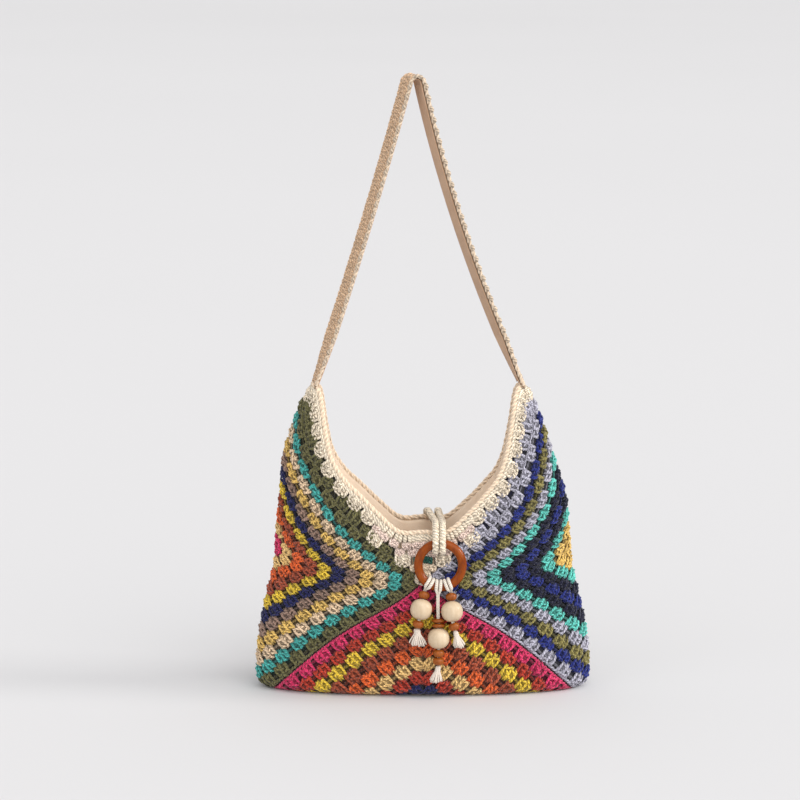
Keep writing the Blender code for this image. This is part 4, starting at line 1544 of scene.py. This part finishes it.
@dataclass(frozen=True)
class BeadSize:
    """A turned bead's width, length and how square its shoulders are."""

    width: float
    length: float
    fullness: float

    def profile(self) -> list[tuple[float, float]]:
        """The bead's turned outline, from one end of its bore to the other."""
        bore, full, reach = BORE / 2, self.fullness, self.length / 2
        pole = reach / (1 - (bore * 1.12 / (self.width / 2)) ** full) ** (1 / full)
        heights = reach * np.sin(np.linspace(-math.pi / 2, math.pi / 2, 19))
        shell = [(self.width / 2 * (1 - (abs(h) / pole) ** full) ** (1 / full), float(h)) for h in heights]
        return [(bore, -0.9 * reach), *shell, (bore, 0.9 * reach)]


BIG_BEAD = BeadSize(0.0216, 0.0204, 2.25)
SMALL_BEAD = BeadSize(0.0112, 0.0078, 2.2)
THIN_BEAD = BeadSize(0.0130, 0.0044, 2.4)


@dataclass
class CharmStrand:
    """A doubled cord hitched on the ring, with its beads and its tassel.

    Attributes:
        name: the word that its pieces' names start with.
        ring: where the ring hangs.
        turn: the hitch's turn from the ring's lowest point.
        aside: how far to the right of the hitch the big bead hangs.
        drop: how far below the hitch it hangs.
        upper: the size and body of each bead above the big one, from the big one outwards.
        lower: the same below it.
        lean: how far the cord leans to the right below the big bead.
        tassel_lean: how far the tassel does.
        tassel_flare: how wide it spreads.
        seed: starts its chance.
        tassel_length: how long its tassel is.
        thread_count: how many threads the tassel has.
        golden_turn: the turn from one thread to the next, which spreads them evenly.
        cord_colour: the cord's colour.
        thread_colour: the threads' colour.
        neck_colour: the colour of the turns round the tassel's neck.
    """

    name: str
    ring: RingPlace
    turn: float
    aside: float
    drop: float
    upper: tuple[tuple[BeadSize, str], ...]
    lower: tuple[tuple[BeadSize, str], ...]
    lean: float
    tassel_lean: float
    tassel_flare: float
    seed: int
    tassel_length: float = 16.5 * MM
    thread_count: int = 54
    golden_turn: float = 2.39996
    cord_colour: Colour = srgb(234, 224, 210)
    thread_colour: Colour = srgb(232, 220, 208)
    neck_colour: Colour = srgb(234, 224, 212)

    def __post_init__(self) -> None:
        """Works out where the cord goes, by the same formulas as the CAD source."""
        ring = self.ring
        self.radial = ring.radial(self.turn)
        self.hitch = ring.middle + ring.radius * self.radial
        x, z = self.hitch.x + self.aside, self.hitch.z - self.drop
        self.middle = Vector((x, ring.front_y(z, ring.cluster_rise + BEAD_GAP + BIG_BEAD.width / 2), z))
        self.wrap = ring.wire / 2 + ring.hitch_gap + ring.strand_cord / 2
        self.first = (self.middle - (self.hitch + self.wrap * self.radial)).normalized()
        self.second = Vector((self.lean, 0, -1)).normalized()
        self.tassel_way = Vector((self.tassel_lean, 0, -1)).normalized()
        self.bend = self.middle + BIG_BEAD.length / 2 * self.first

    def add_bead(
        self, part: str, body: str, size: BeadSize, spot: Vector, along: Vector,
        finish: tuple[str, bpy.types.Material],
    ) -> bpy.types.Object:
        """Adds a turned bead.

        Args:
            part: its place in the strand.
            body: the CAD body that it turns with.
            size: its size.
            spot: where its middle is.
            along: the cord's direction through it.
            finish: its material slot and its material.

        Returns:
            The piece.
        """
        node = f"{self.name}_{part}"
        label = Label(node + "_turned", node, *finish, f"{self.name}_{body}")
        return add_piece(label, spun(label.name, size.profile(), BEAD_STEPS, spot, along))

    def build_beads(self, finishes: Finishes) -> list[bpy.types.Object]:
        """Builds the beads, and notes where the cord leaves them."""
        pale, brown = ("pale_wood", finishes.maple), ("brown_wood", finishes.cherry)
        made = [self.add_bead("wood_bead", "big_bead", BIG_BEAD, self.middle, self.first, pale)]
        ends = []
        for part, beads, start, side, way, reach in (
            ("upper", self.upper, self.middle, -1, self.first, BIG_BEAD.length / 2),
            ("lower", self.lower, self.bend, 1, self.second, BORE / 2 * self.first.angle(self.second)),
        ):
            for i, (size, body) in enumerate(beads, 1):
                spot = start + side * (reach + BEAD_GAP + size.length / 2) * way
                made.append(self.add_bead(f"{part}_bead_{i}", body, size, spot, way, brown))
                reach += BEAD_GAP + size.length
            ends.append(start + side * (reach + BEAD_GAP) * way)
        self.above, self.end = ends
        return made

    def route(self) -> list[Vector]:
        """The cord's middle line, by the same points as the CAD source."""
        points = []
        for angle in (290, 245, 200, 155, 110, 65):
            a = math.radians(angle)
            points.append(self.hitch + self.wrap * (math.cos(a) * self.radial + math.sin(a) * self.ring.facing))
        points += [self.above, (self.above + self.middle) / 2, self.middle]
        return [*points, self.bend - 0.0015 * self.first, self.bend + 0.0015 * self.second, self.end]

    def build_cord(self, finishes: Finishes) -> bpy.types.Object:
        """Builds the two strands, spread side by side where they go round the ring."""
        line = smooth_route(self.route(), 120)
        along = lengths_along(line)
        tangent = self.ring.facing.cross(self.radial).normalized()
        leaving = lengths_along(np.array(self.route()))[5] + 4.5 * MM
        on_ring = np.clip((leaving - along) / (4.5 * MM), 0, 1)
        spread, thick = (0.75 + 1.25 * on_ring) * MM, (0.95 + 0.75 * on_ring) * MM
        strands = Strands(sides=10)
        for side in (-1, 1):
            moved = line + side * spread[:, None] * np.array(tangent)
            strands.add(moved, np.interp(np.linspace(0, 1, 90), along / along[-1], thick), self.cord_colour)
        name = f"{self.name}_cotton_cord"
        return strands.build(Label(name, f"{self.name}_cord", CORD_SLOT, finishes.cotton, Body.RING.value), 90)

    def build_tassel(self, finishes: Finishes) -> bpy.types.Object:
        """Builds the tassel: a wrapped neck and a brush of loose threads."""
        chance = np.random.default_rng(self.seed)
        tilt = self.second.angle(self.tassel_way) + self.tassel_way.angle(Vector((0, 0, -1)))
        top = np.array(self.end + (self.ring.touch_gap + self.ring.strand_cord / 2 * tilt) * self.second)
        way = np.array(self.tassel_way)
        t = np.array([0, 0.1, 0.22, 0.34, 0.5, 0.7, 0.86, 1.0])[:, None]
        reach = np.array([0.25, 0.34, 0.30, 0.33, 0.52, 0.76, 0.92, 1.0])[:, None]
        threads = Strands(sides=5)
        for k in range(self.thread_count):
            turn = k * self.golden_turn
            out = np.array([math.cos(turn), 0.8 * math.sin(turn), 0]) * math.sqrt((k + 0.5) / self.thread_count)
            long = self.tassel_length * chance.uniform(0.86, 1.04)
            flare = self.tassel_flare * chance.uniform(0.85, 1.1)
            stray = chance.normal(0, 0.25 * MM, 3) * t * t
            threads.add(top + way * long * t + out * flare * reach + stray, 0.7 * MM, self.thread_colour)
        turn = np.linspace(0, 2 * math.pi, 24)
        circle = np.stack([np.cos(turn), 0.8 * np.sin(turn), np.zeros(24)], 1) * 2.5 * MM
        for k in range(3):
            threads.add(top + way * (4.0 + 0.75 * k) * MM + circle, 0.5 * MM, self.neck_colour)
        name = f"{self.name}_tassel_threads"
        return threads.build(Label(name, f"{self.name}_tassel", CORD_SLOT, finishes.thread, Body.RING.value), 9)

    def build(self, finishes: Finishes) -> None:
        """Builds the strand: its beads, its cord and its tassel."""
        beads = self.build_beads(finishes)
        cord = self.build_cord(finishes)
        tassel = self.build_tassel(finishes)
        line = smooth_route(self.route(), 40)


# ---------------------------------------------------------------- studio


@dataclass
class Studio:
    """The camera at the photograph's angle, the soft lights and the pale floor."""

    target: tuple[float, float, float] = (-0.023, 0.0, 0.2947)
    distance: float = 3.0
    elevation: float = math.radians(10)
    lens: float = 135.0
    sensor: float = 36.0
    sight: float = 200.0
    world_strength: float = 0.68
    floor_reach: float = 60.0

    def build_camera(self) -> None:
        """Places the camera."""
        data = bpy.data.cameras.new("photo_camera")
        data.lens, data.sensor_width, data.clip_end = self.lens, self.sensor, self.sight
        camera = put_in_scene("photo_camera", data)
        back = Vector((0, -math.cos(self.elevation), math.sin(self.elevation)))
        camera.location = Vector(self.target) + self.distance * back
        camera.rotation_euler = back.to_track_quat("Z", "Y").to_euler()
        bpy.context.scene.camera = camera

    @staticmethod
    def add_light(name: str, toward: Vector, strength: float, angle: float, tint: Colour) -> None:
        """Adds a distant soft light.

        Args:
            name: its name.
            toward: the direction from the bag to it.
            strength: its strength.
            angle: how many degrees wide it looks from the bag, which softens its shadow.
            tint: its colour.
        """
        data = bpy.data.lights.new(name, "SUN")
        data.energy, data.angle, data.color = strength, math.radians(angle), tint
        put_in_scene(name, data).rotation_euler = toward.to_track_quat("Z", "Y").to_euler()

    def build_lights(self) -> None:
        """Adds the soft key at the front, a light at the right, a weak fill at the left and the pale world."""
        self.add_light("key", Vector((0.9, -1.5, 1.4)), 1.7, 70, (1.0, 0.98, 0.95))
        self.add_light("side", Vector((1.6, -0.15, 0.8)), 1.3, 18, (1.0, 0.98, 0.95))
        self.add_light("fill", Vector((-1.6, -1.8, 0.6)), 0.35, 60, (0.97, 0.98, 1.0))
        world = bpy.data.worlds.new("pale_studio")
        world.use_nodes = True
        background = world.node_tree.nodes["Background"].inputs
        background["Color"].default_value = (1.0, 0.995, 1.0, 1.0)
        background["Strength"].default_value = self.world_strength
        bpy.context.scene.world = world
        bpy.context.scene.view_settings.view_transform = "Standard"

    def build_floor(self) -> None:
        """Adds the floor, which reaches past the top of the view."""
        bm = bmesh.new()
        bmesh.ops.create_grid(bm, x_segments=2, y_segments=2, size=self.floor_reach)
        mesh = mesh_of(bm, "studio_floor")
        mesh.materials.append(FloorFinish().build())
        put_in_scene("studio_floor", mesh)


LEFT_ROUNDS = (
    Yarn.HOT_PINK, Yarn.PALE_GOLD, Yarn.ORANGE, Yarn.RUST, Yarn.YELLOW, Yarn.NAVY, Yarn.TAUPE,
    Yarn.GOLDEN, Yarn.SHELL, Yarn.TEAL, Yarn.OLIVE,
)
RIGHT_ROUNDS = (
    Yarn.GOLDEN, Yarn.GOLDEN, Yarn.AQUA, Yarn.MIDNIGHT, Yarn.ROYAL, Yarn.MIDNIGHT, Yarn.AQUA,
    Yarn.LAVENDER, Yarn.MOSS, Yarn.ROYAL, Yarn.LAVENDER,
)
BOTTOM_ROUNDS = (
    Yarn.HOT_PINK, Yarn.TEAL, Yarn.SHELL, Yarn.NAVY, Yarn.BRICK, Yarn.PALE_GOLD, Yarn.ORANGE,
    Yarn.RUST, Yarn.YELLOW, Yarn.BRICK, Yarn.HOT_PINK,
)


def charm_strands(ring: RingPlace) -> tuple[CharmStrand, ...]:
    """The charm's three strands, from the left."""
    top, bottom = ((SMALL_BEAD, "top_bead"),), ((SMALL_BEAD, "bottom_bead"),)
    discs = ((THIN_BEAD, "disc_bead_1"), (THIN_BEAD, "disc_bead_2"))
    pair = ((SMALL_BEAD, "bottom_bead_1"), (SMALL_BEAD, "bottom_bead_2"))
    left, middle, right = (math.radians(turn) for turn in (-32, -5, 22))
    return (
        CharmStrand("left", ring, left, -0.0074, 0.0249, top, bottom, -0.20, 0.09, 8.8 * MM, 41),
        CharmStrand("middle", ring, middle, 0.0002, 0.0507, discs, pair, -0.02, -0.16, 6.2 * MM, 42),
        CharmStrand("right", ring, right, 0.0035, 0.0252, top, bottom, 0.28, 0.25, 6.4 * MM, 43),
    )


def main() -> None:
    """Builds the studio and the bag."""
    logging.basicConfig(level=logging.INFO, format="%(message)s")
    studio = Studio()
    studio.build_camera()
    finishes = Finishes()
    form = BagForm()
    ring = RingPlace(form)
    pieces = (
        ClosureLoop(ring),
        *charm_strands(ring),
        WoodenRing(ring),
        GrannySquare("left_square", form.left_place, LEFT_ROUNDS, "olive_edged_crochet", form, 1),
        GrannySquare("right_square", form.right_place, RIGHT_ROUNDS, "blue_edged_crochet", form, 2),
        GrannySquare("bottom_square", form.bottom_place, BOTTOM_ROUNDS, "pink_edged_crochet", form, 3),
        NeckEdging(form),
        Lining(form),
        Strap(StrapLine(form)),
    )
    for piece in pieces:
        piece.build(finishes)
    studio.build_lights()
    studio.build_floor()


if __name__ == "__main__":
    main()
